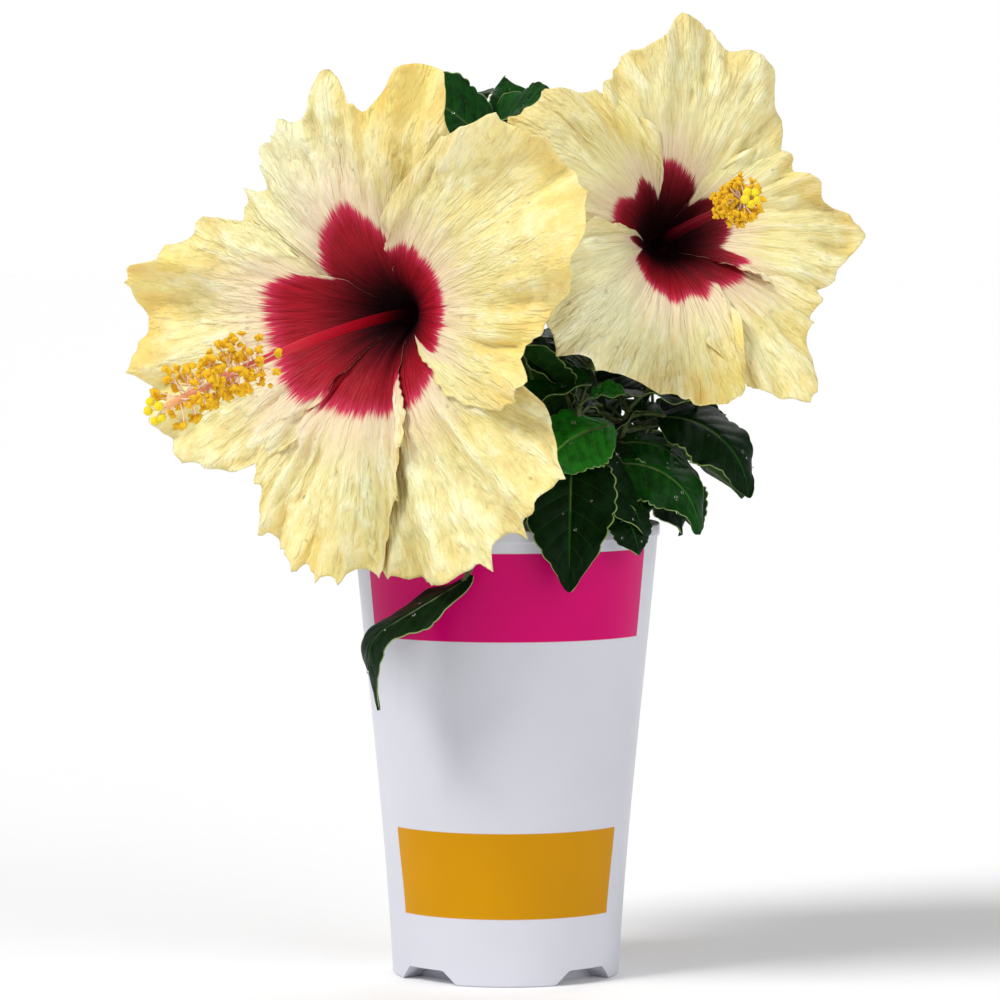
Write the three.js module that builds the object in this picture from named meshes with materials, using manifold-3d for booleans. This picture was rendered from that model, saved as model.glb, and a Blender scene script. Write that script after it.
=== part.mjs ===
// A potted hibiscus shrub with two large open blooms, standing in a tall round plastic nursery pot.
// Millimetres, +Z up. The origin is the centre of the flat underside of the pot, and -Y is its front.
import * as THREE from 'three';
import { mergeVertices } from 'three/addons/utils/BufferGeometryUtils.js';
import Module from 'manifold-3d';

const wasm = await Module();
wasm.setup();

const RAD = Math.PI / 180;
const CLEARANCE = 0.3;

// Pot: outer radius at a few heights, wall, floor and the four drain notches between its feet.
const POT_HEIGHT = 171.2;
const POT_OUTER = [[0, 42.9], [5.5, 43.3], [23, 44.3], [56, 46.8], [126, 53.6], [160, 56.9], [166.4, 57.4]];
const POT_LIP_RADIUS = 58.2;
const POT_LIP_HEIGHT = 4.4;
const POT_WALL = 1.8;
const POT_FLOOR = 7.6;
const POT_SIDES = 32;
const NOTCH_HEIGHT = 5.5;
const NOTCH_DEPTH = 12;
const NOTCH_HALF_BOTTOM = 14.4;
const NOTCH_HALF_TOP = 9.3;

// Potting mix that fills the pot to a finger's breadth below the rim, level where the trunk leaves it.
const SOIL_TOP = 155;
const SOIL_ROUGHNESS = 1.4;

// Trunk: foot, tip, how far its middle bows out, and its radii.
const TRUNK = { from: [1, 4, SOIL_TOP + CLEARANCE], to: [-4, 15, 234], bow: [3, 1, 0], r0: 4.7, r1: 2.9 };
const ROOT_FLARE = 3.4;
const ROOT_FLARE_HEIGHT = 9;

// Boughs: each leaves the trunk at a share of its height and ends at a tip.
const BOUGHS = {
  bough_left_bloom: { share: 0.46, to: [-9, 9, 212], bow: [-4, -3, -1], r0: 2.5, r1: 2.1 },
  bough_right_bloom: { share: 0.58, to: [32, 14, 228], bow: [1, 3, -4], r0: 2.6, r1: 2.1 },
  bough_front: { share: 0.22, to: [17, -18, 184], bow: [3, 0, -2], r0: 2.5, r1: 1.9 },
  bough_right: { share: 0.34, to: [32, -4, 190], bow: [0, 0, -3], r0: 2.5, r1: 1.9 },
  bough_back_right: { share: 0.54, to: [22, 36, 210], bow: [1, 1, -4], r0: 2.5, r1: 1.9 },
  bough_back_left: { share: 0.4, to: [-21, 38, 200], bow: [-1, 1, -4], r0: 2.5, r1: 1.9 },
  bough_left: { share: 0.28, to: [-31, 6, 184], bow: [0, 0, -3], r0: 2.4, r1: 1.9 },
  bough_top_right: { share: 0.84, to: [12, 29, 250], bow: [1, 1, -2], r0: 2.2, r1: 1.8 },
};

// Foliage: each mass keeps to a wedge round the trunk (degrees from +X), a height band and a reach.
// Its stem grows on from a bough's tip. A lead leaf has its own place; the rest follow the stem's spiral.
const LEAF_THICKNESS = 0.9;
const LEAF_ROWS = 4;
const PETIOLE_RADIUS = 0.95;
const TWIG_RADIUS = 1.5;
const SPIRAL = 137.5;
const LEAF_TRIES = 16;
const LEAF_APART = 5;
const LIMB_APART = 6;
const MASSES = {
  leaves_front: {
    bough: 'bough_front', wedge: [-128, -33], band: [96, 258], reach: 104,
    stem: { to: [27, -32, 216], bow: [2, -2, 0] }, spiral: { count: 1, start: 255, seed: 36 },
    lead: [
      { at: 0.5, base: [24.5, -38, 201], az: -93, el: -40, droop: 45, len: 60, wide: 17.5, roll: 0, fold: 8 },
      { at: 0.6, base: [37, -34, 208], az: -150, el: 0, droop: 60, len: 38, wide: 14, roll: -35, fold: -10 },
      { at: 0.9, base: [32, -22, 224], az: 190, el: -4, droop: 30, len: 30, wide: 12, roll: -30, fold: 30 },
      { at: 1, base: [31, -30, 219], az: -30, el: 24, droop: 40, len: 16, wide: 6.5, roll: 30, fold: 20 },
      { at: 0.7, base: [13, -14, 208], az: -112, el: 74, droop: 46, len: 44, wide: 16, roll: 0, fold: 10 },
      { at: 0.85, base: [37, -10, 214], az: -160, el: 46, droop: 40, len: 32, wide: 12, roll: -40, fold: 10 },
      { at: 0.2, base: [40, -38, 180], az: -55, el: -20, droop: 60, len: 25, wide: 12, roll: 0, fold: -14 },
      { at: 0.05, base: [-4, -68.2, 166.5], az: -178, el: -12, droop: 85, len: 80, wide: 12, roll: -20, fold: -8 },
    ],
  },
  leaves_right: {
    bough: 'bough_right', wedge: [-31, 34], band: [152, 250], reach: 104,
    stem: { to: [46, -8, 214], bow: [2, 0, -3] }, spiral: { count: 5, start: 20, seed: 29 },
    lead: [
      { at: 0.3, base: [40, -30, 195], az: -6, el: 14, droop: 100, len: 50, wide: 15, roll: 40, fold: -14 },
      { at: 0.5, base: [41, -18, 201], az: -5, el: 18, droop: 90, len: 38, wide: 14, roll: 25, fold: -10 },
      { at: 0.9, base: [57, -10, 211], az: -18, el: 8, droop: 96, len: 52, wide: 18, roll: 28, fold: -8 },
      { at: 1, base: [38, 0, 221], az: -12, el: 4, droop: 26, len: 36, wide: 12, roll: 16, fold: 12 },
    ],
  },
  leaves_back_right: {
    bough: 'bough_back_right', wedge: [36, 91], band: [152, 250], reach: 106,
    stem: { to: [34, 52, 234], bow: [2, 2, -2] }, spiral: { count: 9, start: 40, seed: 99 }, lead: [],
  },
  leaves_back_left: {
    bough: 'bough_back_left', wedge: [93, 152], band: [152, 250], reach: 104,
    stem: { to: [-38, 54, 228], bow: [-2, 2, -2] }, spiral: { count: 9, start: 120, seed: 82 }, lead: [],
  },
  leaves_left: {
    bough: 'bough_left', wedge: [154, 230], band: [150, 250], reach: 100,
    stem: { to: [-50, 8, 214], bow: [-2, 0, -3] }, spiral: { count: 8, start: 170, seed: 108 }, lead: [],
  },
  leaves_top_left: {
    bough: 'trunk', wedge: [91, 269], band: [252, 350], reach: 96,
    stem: { to: [-10, 20, 312], bow: [-2, 2, 0] }, spiral: { count: 9, start: 100, seed: 61 },
    lead: [
      { at: 0.95, base: [-9, 14, 317], az: 186, el: 56, droop: 44, len: 42, wide: 16, roll: -34, fold: 12 },
    ],
  },
  leaves_top_right: {
    bough: 'bough_top_right', wedge: [-89, 89], band: [252, 352], reach: 96,
    stem: { to: [13, 30, 306], bow: [2, 2, 0] }, spiral: { count: 9, start: 60, seed: 66 },
    lead: [
      { at: 0.95, base: [-5, 20, 316], az: -30, el: 64, droop: 80, len: 34, wide: 14, roll: 34, fold: 12 },
      { at: 0.85, base: [4, 33, 316], az: 120, el: 80, droop: 24, len: 34, wide: 15, roll: 0, fold: 8 },
    ],
  },
};

// Blooms: throat, facing (yaw to the right, pitch up), funnel depth, rim height and how fast it opens.
// Each petal has its middle and half angle, its reach at even angles, how high each side lies over
// its neighbour, how far the rim curls, its ruffle height, its ruffle count and phase.
const PETAL_THICKNESS = 1;
const PETAL_ACROSS = 10;
const PETAL_ALONG = 5;
const THROAT_RADIUS = 4;
const BLOOMS = {
  left: {
    throat: [-43.3, -34, 250], yaw: -29, pitch: -1, depth: 16, rim: 26, opening: 20,
    petals: [
      { mid: 100, half: 50, reach: [63, 87, 97, 75, 89, 79, 80, 72, 60], low: -2, high: -1.4, curl: -4, ruffle: 4.2,
        waves: 3.2, phase: 0.1 },
      { mid: 18, half: 54, reach: [58, 73, 74, 88, 105, 106, 100, 66, 38], low: 2.2, high: 2.4, curl: 2, ruffle: 4.6,
        waves: 3.4, phase: 0.6 },
      { mid: -52, half: 46, reach: [64, 90, 102, 103, 103, 105, 98, 68, 48], low: -2.2, high: -2.2, curl: 3,
        ruffle: 4.4, waves: 3.1, phase: 0.3 },
      { mid: -101, half: 38, reach: [45, 60, 82, 96, 96, 94, 89, 66, 48], low: -1.6, high: 2.2, curl: 2, ruffle: 4,
        waves: 2.6, phase: 0.85 },
      { mid: 189, half: 48, reach: [52, 76, 91, 107, 97, 95, 90, 80, 64], low: 1.4, high: 1.8, curl: -5, ruffle: 4.4,
        waves: 3.3, phase: 0.45 },
    ],
    column: { reach: 118, aside: [-24, -29], bendAside: 1.8, bendUp: 1.7, anthersFrom: 0.66, spread: 10, seed: 5 },
    stalk: { bough: 'bough_left_bloom', bow: [2, 4, 2] },
  },
  right: {
    throat: [61.2, -20, 280], yaw: 20, pitch: 16, depth: 16, rim: 24, opening: 18,
    petals: [
      { mid: 80, half: 50, reach: [34, 56, 75, 72, 84, 68, 63, 60, 44], low: -1.6, high: -1.8, curl: -3, ruffle: 3.8,
        waves: 3, phase: 0.2 },
      { mid: 8, half: 50, reach: [36, 56, 62, 71, 58, 54, 54, 38, 26], low: 1.8, high: 1.8, curl: -4, ruffle: 3.4,
        waves: 2.8, phase: 0.5 },
      { mid: -58, half: 38, reach: [34, 48, 62, 75, 79, 62, 58, 57, 44], low: -1.8, high: -1.8, curl: 2, ruffle: 3.2,
        waves: 2.6, phase: 0.75 },
      { mid: -124, half: 56, reach: [40, 58, 70, 80, 71, 70, 75, 70, 42], low: 1.6, high: 1.8, curl: 3, ruffle: 3.8,
        waves: 3.2, phase: 0.05 },
      { mid: 152, half: 48, reach: [36, 52, 64, 72, 76, 74, 70, 62, 46], low: 2, high: -1.8, curl: -5, ruffle: 3.8,
        waves: 3, phase: 0.35 },
    ],
    column: { reach: 84, aside: [-2, -9], bendAside: 1.6, bendUp: 1.4, anthersFrom: 0.74, spread: 8, seed: 9 },
    stalk: { bough: 'bough_right_bloom', bow: [3, 8, 0] },
  },
};
const COLUMN_RADIUS = 2.1;
const ANTHERS = 10;
const ANTHER_RADIUS = 1.7;
const STIGMA_PADS = 5;
const STIGMA_RADIUS = 1.9;
const CALYX_LENGTH = 20;
const CALYX_RADIUS = 12.2;
const SEPAL_LENGTH = 9;
const STALK_RADIUS = 1.6;
const BRACTS = 6;

const COLOURS = {
  pot: [0xd9dae4, 0.34], potting_mix: [0x2b1e16, 0.96], trunk: [0x6b5a44, 0.85], bough: [0x64663c, 0.75],
  leaves: [0x17451c, 0.34], petals: [0xf1e6ae, 0.55], column: [0xc22b33, 0.5], calyx: [0x5d7f36, 0.6],
};

// A repeatable spread of values from 0 to 1, kept to whole numbers so that it never drifts.
function dice(seed, index) {
  const a = (seed * 7919 + index * 6577 + 1013) % 65521;
  const b = (a * a * 31 + a * 17 + 7) % 65521;
  return b / 65521;
}

function vec(list) {
  return new THREE.Vector3(list[0], list[1], list[2]);
}

function soft(x) {
  const t = Math.min(1, Math.max(0, x));
  return t * t * (3 - 2 * t);
}

function between(values, share) {
  const place = Math.min(values.length - 1.0001, Math.max(0, share * (values.length - 1)));
  const i = Math.floor(place);
  const t = place - i;
  const before = values[Math.max(0, i - 1)];
  const after = values[Math.min(values.length - 1, i + 2)];
  const a = values[i];
  const b = values[i + 1];
  return a + 0.5 * t * (b - before + t * (2 * before - 5 * a + 4 * b - after + t * (3 * (a - b) + after - before)));
}

// Solids from closed grids of points.
function solidFrom(points, faces) {
  const plain = new THREE.BufferGeometry();
  plain.setAttribute('position', new THREE.Float32BufferAttribute(points.flatMap((p) => [p.x, p.y, p.z]), 3));
  plain.setIndex(faces);
  return solidOf(plain);
}

function solidOf(geometry) {
  const bare = geometry.clone();
  bare.deleteAttribute('normal');
  bare.deleteAttribute('uv');
  const merged = mergeVertices(bare, 1e-4);
  const mesh = new wasm.Mesh({
    numProp: 3,
    vertProperties: new Float32Array(merged.attributes.position.array),
    triVerts: new Uint32Array(merged.index.array),
  });
  return new wasm.Manifold(mesh);
}

function largest(solid) {
  return solid.decompose().reduce((best, one) => (one.volume() > best.volume() ? one : best));
}

function joined(solids) {
  return wasm.Manifold.union(solids);
}

// A thin curved blade: the surface takes (across, along), both 0 to 1, and gets an even thickness.
function blade(surface, across, along, thickness) {
  const points = [];
  const step = 0.004;
  for (const side of [0.5, -0.5]) {
    for (let j = 0; j <= along; j += 1) {
      for (let i = 0; i <= across; i += 1) {
        const a = i / across;
        const b = j / along;
        const alongA = surface(Math.min(1, a + step), b).sub(surface(Math.max(0, a - step), b));
        const alongB = surface(a, Math.min(1, b + step)).sub(surface(a, Math.max(0, b - step)));
        const normal = alongA.cross(alongB).normalize();
        points.push(surface(a, b).addScaledVector(normal, side * thickness));
      }
    }
  }
  const row = across + 1;
  const back = row * (along + 1);
  const faces = [];
  const quad = (a, b, c, d) => faces.push(a, b, c, a, c, d);
  for (let j = 0; j < along; j += 1) {
    for (let i = 0; i < across; i += 1) {
      const k = j * row + i;
      quad(k, k + 1, k + row + 1, k + row);
      quad(back + k, back + k + row, back + k + row + 1, back + k + 1);
    }
    const left = j * row;
    const right = left + across;
    quad(left, left + row, back + left + row, back + left);
    quad(right, back + right, back + right + row, right + row);
  }
  for (let i = 0; i < across; i += 1) {
    const top = along * row + i;
    quad(i, back + i, back + i + 1, i + 1);
    quad(top, top + 1, back + top + 1, back + top);
  }
  return solidFrom(points, faces);
}

// A closed tapering tube along a path.
function tube(path, radius, rings, sides) {
  const points = [];
  const faces = [];
  let across = new THREE.Vector3(1, 0.13, 0.07);
  for (let j = 0; j <= rings; j += 1) {
    const t = j / rings;
    const ahead = path(Math.min(1, t + 0.01)).sub(path(Math.max(0, t - 0.01))).normalize();
    across = across.addScaledVector(ahead, -across.dot(ahead)).normalize();
    const over = ahead.clone().cross(across);
    for (let i = 0; i < sides; i += 1) {
      const turn = (2 * Math.PI * i) / sides;
      const p = path(t).addScaledVector(across, radius(t) * Math.cos(turn));
      points.push(p.addScaledVector(over, radius(t) * Math.sin(turn)));
    }
  }
  for (let j = 0; j < rings; j += 1) {
    for (let i = 0; i < sides; i += 1) {
      const a = j * sides + i;
      const b = j * sides + ((i + 1) % sides);
      faces.push(a, b, b + sides, a, b + sides, a + sides);
    }
  }
  points.push(path(0), path(1));
  for (let i = 0; i < sides; i += 1) {
    const next = (i + 1) % sides;
    faces.push(points.length - 2, next, i);
    faces.push(points.length - 1, rings * sides + i, rings * sides + next);
  }
  return solidFrom(points, faces);
}

function bowed(from, to, bow) {
  return (t) => from.clone().lerp(to, t).addScaledVector(bow, 4 * t * (1 - t));
}

// Pot and potting mix.
function potProfile(offset) {
  return POT_OUTER.map(([z, r]) => new THREE.Vector2(r + offset, z));
}

function potInner(z) {
  const k = Math.max(1, POT_OUTER.findIndex(([height]) => height >= z));
  const [z0, r0] = POT_OUTER[k === 0 ? 1 : k - 1];
  const [z1, r1] = POT_OUTER[k];
  return r0 + ((r1 - r0) * (z - z0)) / (z1 - z0) - POT_WALL;
}

function makePot() {
  const outline = [
    new THREE.Vector2(0, 0),
    ...potProfile(0),
    new THREE.Vector2(POT_LIP_RADIUS, POT_HEIGHT - POT_LIP_HEIGHT + 0.2),
    new THREE.Vector2(POT_LIP_RADIUS, POT_HEIGHT - 0.5),
    new THREE.Vector2(POT_LIP_RADIUS - 0.5, POT_HEIGHT),
    new THREE.Vector2(POT_LIP_RADIUS - POT_WALL - 0.4, POT_HEIGHT),
    ...POT_OUTER.filter(([z]) => z > 50 && z < 163).reverse().map(([z]) => new THREE.Vector2(potInner(z), z)),
    new THREE.Vector2(potInner(POT_FLOOR), POT_FLOOR),
    new THREE.Vector2(0, POT_FLOOR),
  ];
  let pot = solidOf(new THREE.LatheGeometry(outline, POT_SIDES).rotateX(Math.PI / 2));
  const shape = new THREE.Shape();
  shape.moveTo(-NOTCH_HALF_BOTTOM - 0.6, -0.3);
  shape.lineTo(NOTCH_HALF_BOTTOM + 0.6, -0.3);
  shape.lineTo(NOTCH_HALF_TOP, NOTCH_HEIGHT);
  shape.lineTo(-NOTCH_HALF_TOP, NOTCH_HEIGHT);
  for (let k = 0; k < 4; k += 1) {
    const cut = new THREE.ExtrudeGeometry(shape, { depth: NOTCH_DEPTH + 6, bevelEnabled: false });
    cut.rotateX(Math.PI / 2).translate(0, POT_OUTER[0][1] + 6, 0).rotateZ((45 + 90 * k) * RAD);
    pot = pot.subtract(solidOf(cut));
  }
  return pot;
}

function makeSoil() {
  const wall = POT_OUTER.map(([z]) => z).filter((z) => z > 50 && z < SOIL_TOP - 4);
  const floor = POT_FLOOR + CLEARANCE;
  const outline = [
    new THREE.Vector2(0, floor),
    new THREE.Vector2(potInner(floor) - CLEARANCE - 0.1, floor),
    ...wall.map((z) => new THREE.Vector2(potInner(z) - CLEARANCE - 0.1, z)),
    new THREE.Vector2(potInner(SOIL_TOP - 2) - CLEARANCE - 0.1, SOIL_TOP - 2),
    new THREE.Vector2(40, SOIL_TOP - 1),
    new THREE.Vector2(26, SOIL_TOP - 0.4),
    new THREE.Vector2(14, SOIL_TOP),
    new THREE.Vector2(0, SOIL_TOP),
  ];
  const soil = new THREE.LatheGeometry(outline, 24).rotateX(Math.PI / 2);
  const at = soil.attributes.position;
  for (let i = 0; i < at.count; i += 1) {
    const reach = Math.hypot(at.getX(i), at.getY(i));
    const turn = Math.atan2(at.getY(i), at.getX(i));
    const lump = Math.sin(3 * turn + reach * 0.2) * Math.sin(5 * turn - 1) * SOIL_ROUGHNESS;
    if (at.getZ(i) > SOIL_TOP - 3 && reach > 20) {
      at.setZ(i, at.getZ(i) - Math.abs(lump));
    }
  }
  return solidOf(soil);
}

// Trunk and boughs. A grown copy of each limb cuts its neighbours, so they meet it a small gap clear.
const trunkPath = bowed(vec(TRUNK.from), vec(TRUNK.to), vec(TRUNK.bow));

function trunkRadius(t) {
  const height = t * (TRUNK.to[2] - TRUNK.from[2]);
  const flare = ROOT_FLARE * Math.max(0, 1 - height / ROOT_FLARE_HEIGHT) ** 2;
  return TRUNK.r0 + (TRUNK.r1 - TRUNK.r0) * t + flare;
}

const limbPaths = { trunk: trunkPath };
const limbTips = { trunk: TRUNK.r1 };
for (const [name, b] of Object.entries(BOUGHS)) {
  limbPaths[name] = bowed(trunkPath(b.share), vec(b.to), vec(b.bow));
  limbTips[name] = b.r1;
}

function makeTrunk(extra) {
  const body = tube(trunkPath, (t) => trunkRadius(t) + extra, 10, 10);
  const ground = new THREE.BoxGeometry(60, 60, 20).translate(0, 0, SOIL_TOP + CLEARANCE - 10);
  return extra > 0 ? body : body.subtract(solidOf(ground));
}

function makeBough(name, extra) {
  const b = BOUGHS[name];
  return tube(limbPaths[name], (t) => b.r0 + (b.r1 - b.r0) * t + extra, 5, 6);
}

// Blooms: the funnel's height over the throat at a radius, and one petal's surface.
function funnel(bloom, radius) {
  return -bloom.depth + (bloom.depth + bloom.rim) * (1 - Math.exp(-(radius - THROAT_RADIUS) / bloom.opening));
}

function petalPoint(bloom, petal, a, b) {
  const u = 2 * a - 1;
  const widen = 0.66 + 0.34 * soft(b / 0.3);
  const turn = (petal.mid + petal.half * u * widen) * RAD;
  const reach = between(petal.reach, a);
  const radius = THROAT_RADIUS + (reach - THROAT_RADIUS) * b;
  const over = u < 0 ? petal.low : petal.high;
  const lift = over * soft(Math.abs(u)) * soft(radius / 36);
  const wave = Math.sin(2 * Math.PI * (petal.waves * a + petal.phase));
  const small = Math.sin(2 * Math.PI * (petal.waves * 2.3 * a + petal.phase * 3));
  const calm = 1 - 0.8 * soft((Math.abs(u) - 0.4) / 0.45);
  const rim = b ** 2.6 * soft(radius / 60) * calm;
  const height = funnel(bloom, radius) + lift + petal.curl * b ** 4 + petal.ruffle * rim * (wave + 0.35 * small);
  return new THREE.Vector3(radius * Math.cos(turn), radius * Math.sin(turn), height);
}

function bloomFrame(bloom) {
  const yaw = bloom.yaw * RAD;
  const pitch = bloom.pitch * RAD;
  const out = new THREE.Vector3(Math.sin(yaw) * Math.cos(pitch), -Math.cos(yaw) * Math.cos(pitch), Math.sin(pitch));
  const right = new THREE.Vector3(Math.cos(yaw), Math.sin(yaw), 0);
  const up = out.clone().cross(right);
  return new THREE.Matrix4().makeBasis(right, up, out).setPosition(vec(bloom.throat));
}

function placed(solid, matrix) {
  return solid.transform(matrix.elements);
}

function makeCorolla(bloom) {
  const petals = bloom.petals.map((petal) =>
    blade((a, b) => petalPoint(bloom, petal, a, b), PETAL_ACROSS, PETAL_ALONG, PETAL_THICKNESS));
  const foot = [
    new THREE.Vector2(0, -bloom.depth - 3.4),
    new THREE.Vector2(THROAT_RADIUS + 0.2, -bloom.depth - 3.4),
    new THREE.Vector2(THROAT_RADIUS + 1.4, -bloom.depth + 1.6),
    new THREE.Vector2(THROAT_RADIUS, -bloom.depth + 2.2),
    new THREE.Vector2(0, -bloom.depth + 1),
  ];
  const base = solidOf(new THREE.LatheGeometry(foot, 12).rotateX(Math.PI / 2));
  return placed(largest(joined([base, ...petals])), bloomFrame(bloom));
}

// The column bends aside as it leaves the throat; anthers stand round its outer part.
function columnPath(bloom) {
  const c = bloom.column;
  const start = -bloom.depth + 1.7 + CLEARANCE;
  return (t) => new THREE.Vector3(c.aside[0] * t ** c.bendAside, c.aside[1] * t ** c.bendUp,
    start + (c.reach - start) * t);
}

function makeColumn(bloom) {
  const c = bloom.column;
  const path = columnPath(bloom);
  const pieces = [tube(path, (t) => COLUMN_RADIUS - 0.9 * t, 8, 6)];
  for (let k = 0; k < ANTHERS; k += 1) {
    const t = c.anthersFrom + (0.96 - c.anthersFrom) * ((k + 0.5) / ANTHERS);
    const turn = SPIRAL * k * RAD;
    const long = c.spread * (0.7 + 0.5 * dice(c.seed, k));
    const root = path(t - 0.03);
    const out = new THREE.Vector3(Math.cos(turn), Math.sin(turn), 0.45).normalize();
    const tip = root.clone().addScaledVector(out, long);
    pieces.push(tube(bowed(root, tip, new THREE.Vector3()), () => 0.6, 1, 3));
    const head = new THREE.OctahedronGeometry(ANTHER_RADIUS, 0).rotateZ(turn).translate(tip.x, tip.y, tip.z);
    pieces.push(solidOf(head));
  }
  const end = path(1);
  const ahead = path(1).sub(path(0.95)).normalize();
  const side = new THREE.Vector3(1, 0, 0).cross(ahead).normalize();
  const other = ahead.clone().cross(side);
  for (let k = 0; k < STIGMA_PADS; k += 1) {
    const turn = (360 / STIGMA_PADS) * k * RAD;
    const tip = end.clone().addScaledVector(ahead, 4).addScaledVector(side, 4.6 * Math.cos(turn));
    tip.addScaledVector(other, 4.6 * Math.sin(turn));
    pieces.push(tube(bowed(path(0.985), tip, new THREE.Vector3()), () => 0.7, 1, 3));
    pieces.push(solidOf(new THREE.OctahedronGeometry(STIGMA_RADIUS, 0).translate(tip.x, tip.y, tip.z)));
  }
  return placed(largest(joined(pieces)), bloomFrame(bloom));
}

// Calyx: a cup with five pointed lobes round the foot of the petals, bracts below it and a stalk.
function makeCalyx(bloom) {
  const low = -bloom.depth - 8;
  const cup = (offset) => [0, 0.35, 0.7, 1].map((s) => {
    const z = low + s * CALYX_LENGTH;
    const inside = THROAT_RADIUS + (CALYX_RADIUS - THROAT_RADIUS) * soft(s) + offset;
    return new THREE.Vector2(inside + s * 1.6, z);
  });
  const outline = [
    new THREE.Vector2(0, low - 1),
    ...cup(1.6),
    ...cup(0.5).reverse().filter((p) => p.y > low + 4),
    new THREE.Vector2(THROAT_RADIUS + 1, low + 4.2),
    new THREE.Vector2(0, low + 4.2),
  ];
  const geometry = new THREE.LatheGeometry(outline, 15).rotateX(Math.PI / 2);
  const at = geometry.attributes.position;
  for (let i = 0; i < at.count; i += 1) {
    const share = soft((at.getZ(i) - low - 0.55 * CALYX_LENGTH) / (0.45 * CALYX_LENGTH));
    const turn = Math.atan2(at.getY(i), at.getX(i));
    at.setZ(i, at.getZ(i) - share * SEPAL_LENGTH * (0.5 + 0.5 * Math.cos(5 * turn)));
  }
  const pieces = [solidOf(geometry)];
  for (let k = 0; k < BRACTS; k += 1) {
    const turn = ((k + 0.5) * 360 * RAD) / BRACTS;
    const root = new THREE.Vector3(2.4 * Math.cos(turn), 2.4 * Math.sin(turn), low - 0.2);
    const tip = new THREE.Vector3(13 * Math.cos(turn), 13 * Math.sin(turn), low + 9);
    const bend = new THREE.Vector3(2.5 * Math.cos(turn), 2.5 * Math.sin(turn), -2.4);
    pieces.push(tube(bowed(root, tip, bend), (t) => 1.1 - 0.6 * t, 3, 3));
  }
  const frame = bloomFrame(bloom);
  const head = placed(joined(pieces), frame);
  const foot = limbPaths[bloom.stalk.bough](0.97);
  const top = new THREE.Vector3(0, 0, low - 0.2).applyMatrix4(frame);
  const stalk = tube(bowed(foot, top, vec(bloom.stalk.bow)), (t) => STALK_RADIUS + 0.5 * t, 6, 6);
  return joined([head, stalk]);
}

// Leaves: a spine that droops as it goes, and a pointed oval blade that is folded along it.
function leafSpine(leaf, s) {
  const e0 = leaf.el * RAD;
  const d = Math.max(0.5, Math.abs(leaf.droop)) * Math.sign(leaf.droop || 1) * RAD;
  const e1 = e0 - d * s;
  const level = (leaf.len * (Math.sin(e0) - Math.sin(e1))) / d;
  const rise = (leaf.len * (Math.cos(e1) - Math.cos(e0))) / d;
  const az = leaf.az * RAD;
  return {
    at: new THREE.Vector3(leaf.base[0] + level * Math.cos(az), leaf.base[1] + level * Math.sin(az), leaf.base[2] + rise),
    over: new THREE.Vector3(-Math.sin(e1) * Math.cos(az), -Math.sin(e1) * Math.sin(az), Math.cos(e1)),
    side: new THREE.Vector3(-Math.sin(az), Math.cos(az), 0),
  };
}

function leafHalf(leaf, s) {
  return leaf.wide * (0.05 + 0.95 * Math.sin(Math.PI * s ** 0.72) ** 0.85);
}

function leafPoint(leaf, a, b) {
  const w = 2 * a - 1;
  const spine = leafSpine(leaf, b);
  const roll = leaf.roll * RAD;
  const side = spine.side.clone().multiplyScalar(Math.cos(roll)).addScaledVector(spine.over, Math.sin(roll));
  const over = spine.over.clone().multiplyScalar(Math.cos(roll)).addScaledVector(spine.side, -Math.sin(roll));
  const half = leafHalf(leaf, b);
  const fold = leaf.fold * RAD;
  return spine.at.addScaledVector(side, w * half * Math.cos(fold)).addScaledVector(over, Math.abs(w) * half * Math.sin(fold));
}

function leafSamples(leaf) {
  const samples = [];
  for (let j = 0; j <= 8; j += 1) {
    for (let i = 0; i <= 4; i += 1) {
      samples.push(leafPoint(leaf, i / 4, j / 8));
    }
  }
  return samples;
}

const frames = Object.values(BLOOMS).map((bloom) => ({ bloom, inverse: bloomFrame(bloom).invert() }));

function clearOfBlooms(p) {
  return frames.every(({ bloom, inverse }) => {
    const q = p.clone().applyMatrix4(inverse);
    const radius = Math.hypot(q.x, q.y);
    const farthest = Math.max(...bloom.petals.map((petal) => Math.max(...petal.reach)));
    const behind = funnel(bloom, Math.max(THROAT_RADIUS, radius)) - 11;
    const besideCup = radius > 20 || q.z < -bloom.depth - 40;
    return radius > farthest + 8 || (q.z < behind && besideCup);
  });
}

function clearOfPot(p) {
  const radius = Math.hypot(p.x, p.y);
  const inPot = p.z < POT_HEIGHT + 2 && radius > 48 && radius < 62;
  const inSoil = p.z < SOIL_TOP + 3 && radius < 62;
  return !inPot && !inSoil;
}

const limbSamples = [];
for (const path of Object.values(limbPaths)) {
  for (let k = 0; k <= 16; k += 1) {
    limbSamples.push(path(k / 16));
  }
}
for (const bloom of Object.values(BLOOMS)) {
  const foot = limbPaths[bloom.stalk.bough](0.97);
  const top = new THREE.Vector3(0, 0, -bloom.depth - 8).applyMatrix4(bloomFrame(bloom));
  for (let k = 0; k <= 10; k += 1) {
    limbSamples.push(bowed(foot, top, vec(bloom.stalk.bow))(k / 10));
  }
}

function inSpace(mass, p) {
  const radius = Math.hypot(p.x, p.y);
  const inBand = p.z > mass.band[0] && p.z < mass.band[1] && radius < mass.reach;
  const [from, to] = mass.wedge;
  const past = Math.sin(((Math.atan2(p.y, p.x) / RAD) - from) * RAD) * radius;
  const short = Math.sin((to - Math.atan2(p.y, p.x) / RAD) * RAD) * radius;
  return inBand && past > 1.2 && short > 1.2;
}

function fits(mass, samples, taken) {
  return samples.every((p) => inSpace(mass, p) && clearOfBlooms(p) && clearOfPot(p)
    && limbSamples.every((q) => q.distanceTo(p) > LIMB_APART)
    && taken.every((q) => q.distanceTo(p) > LEAF_APART));
}

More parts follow.
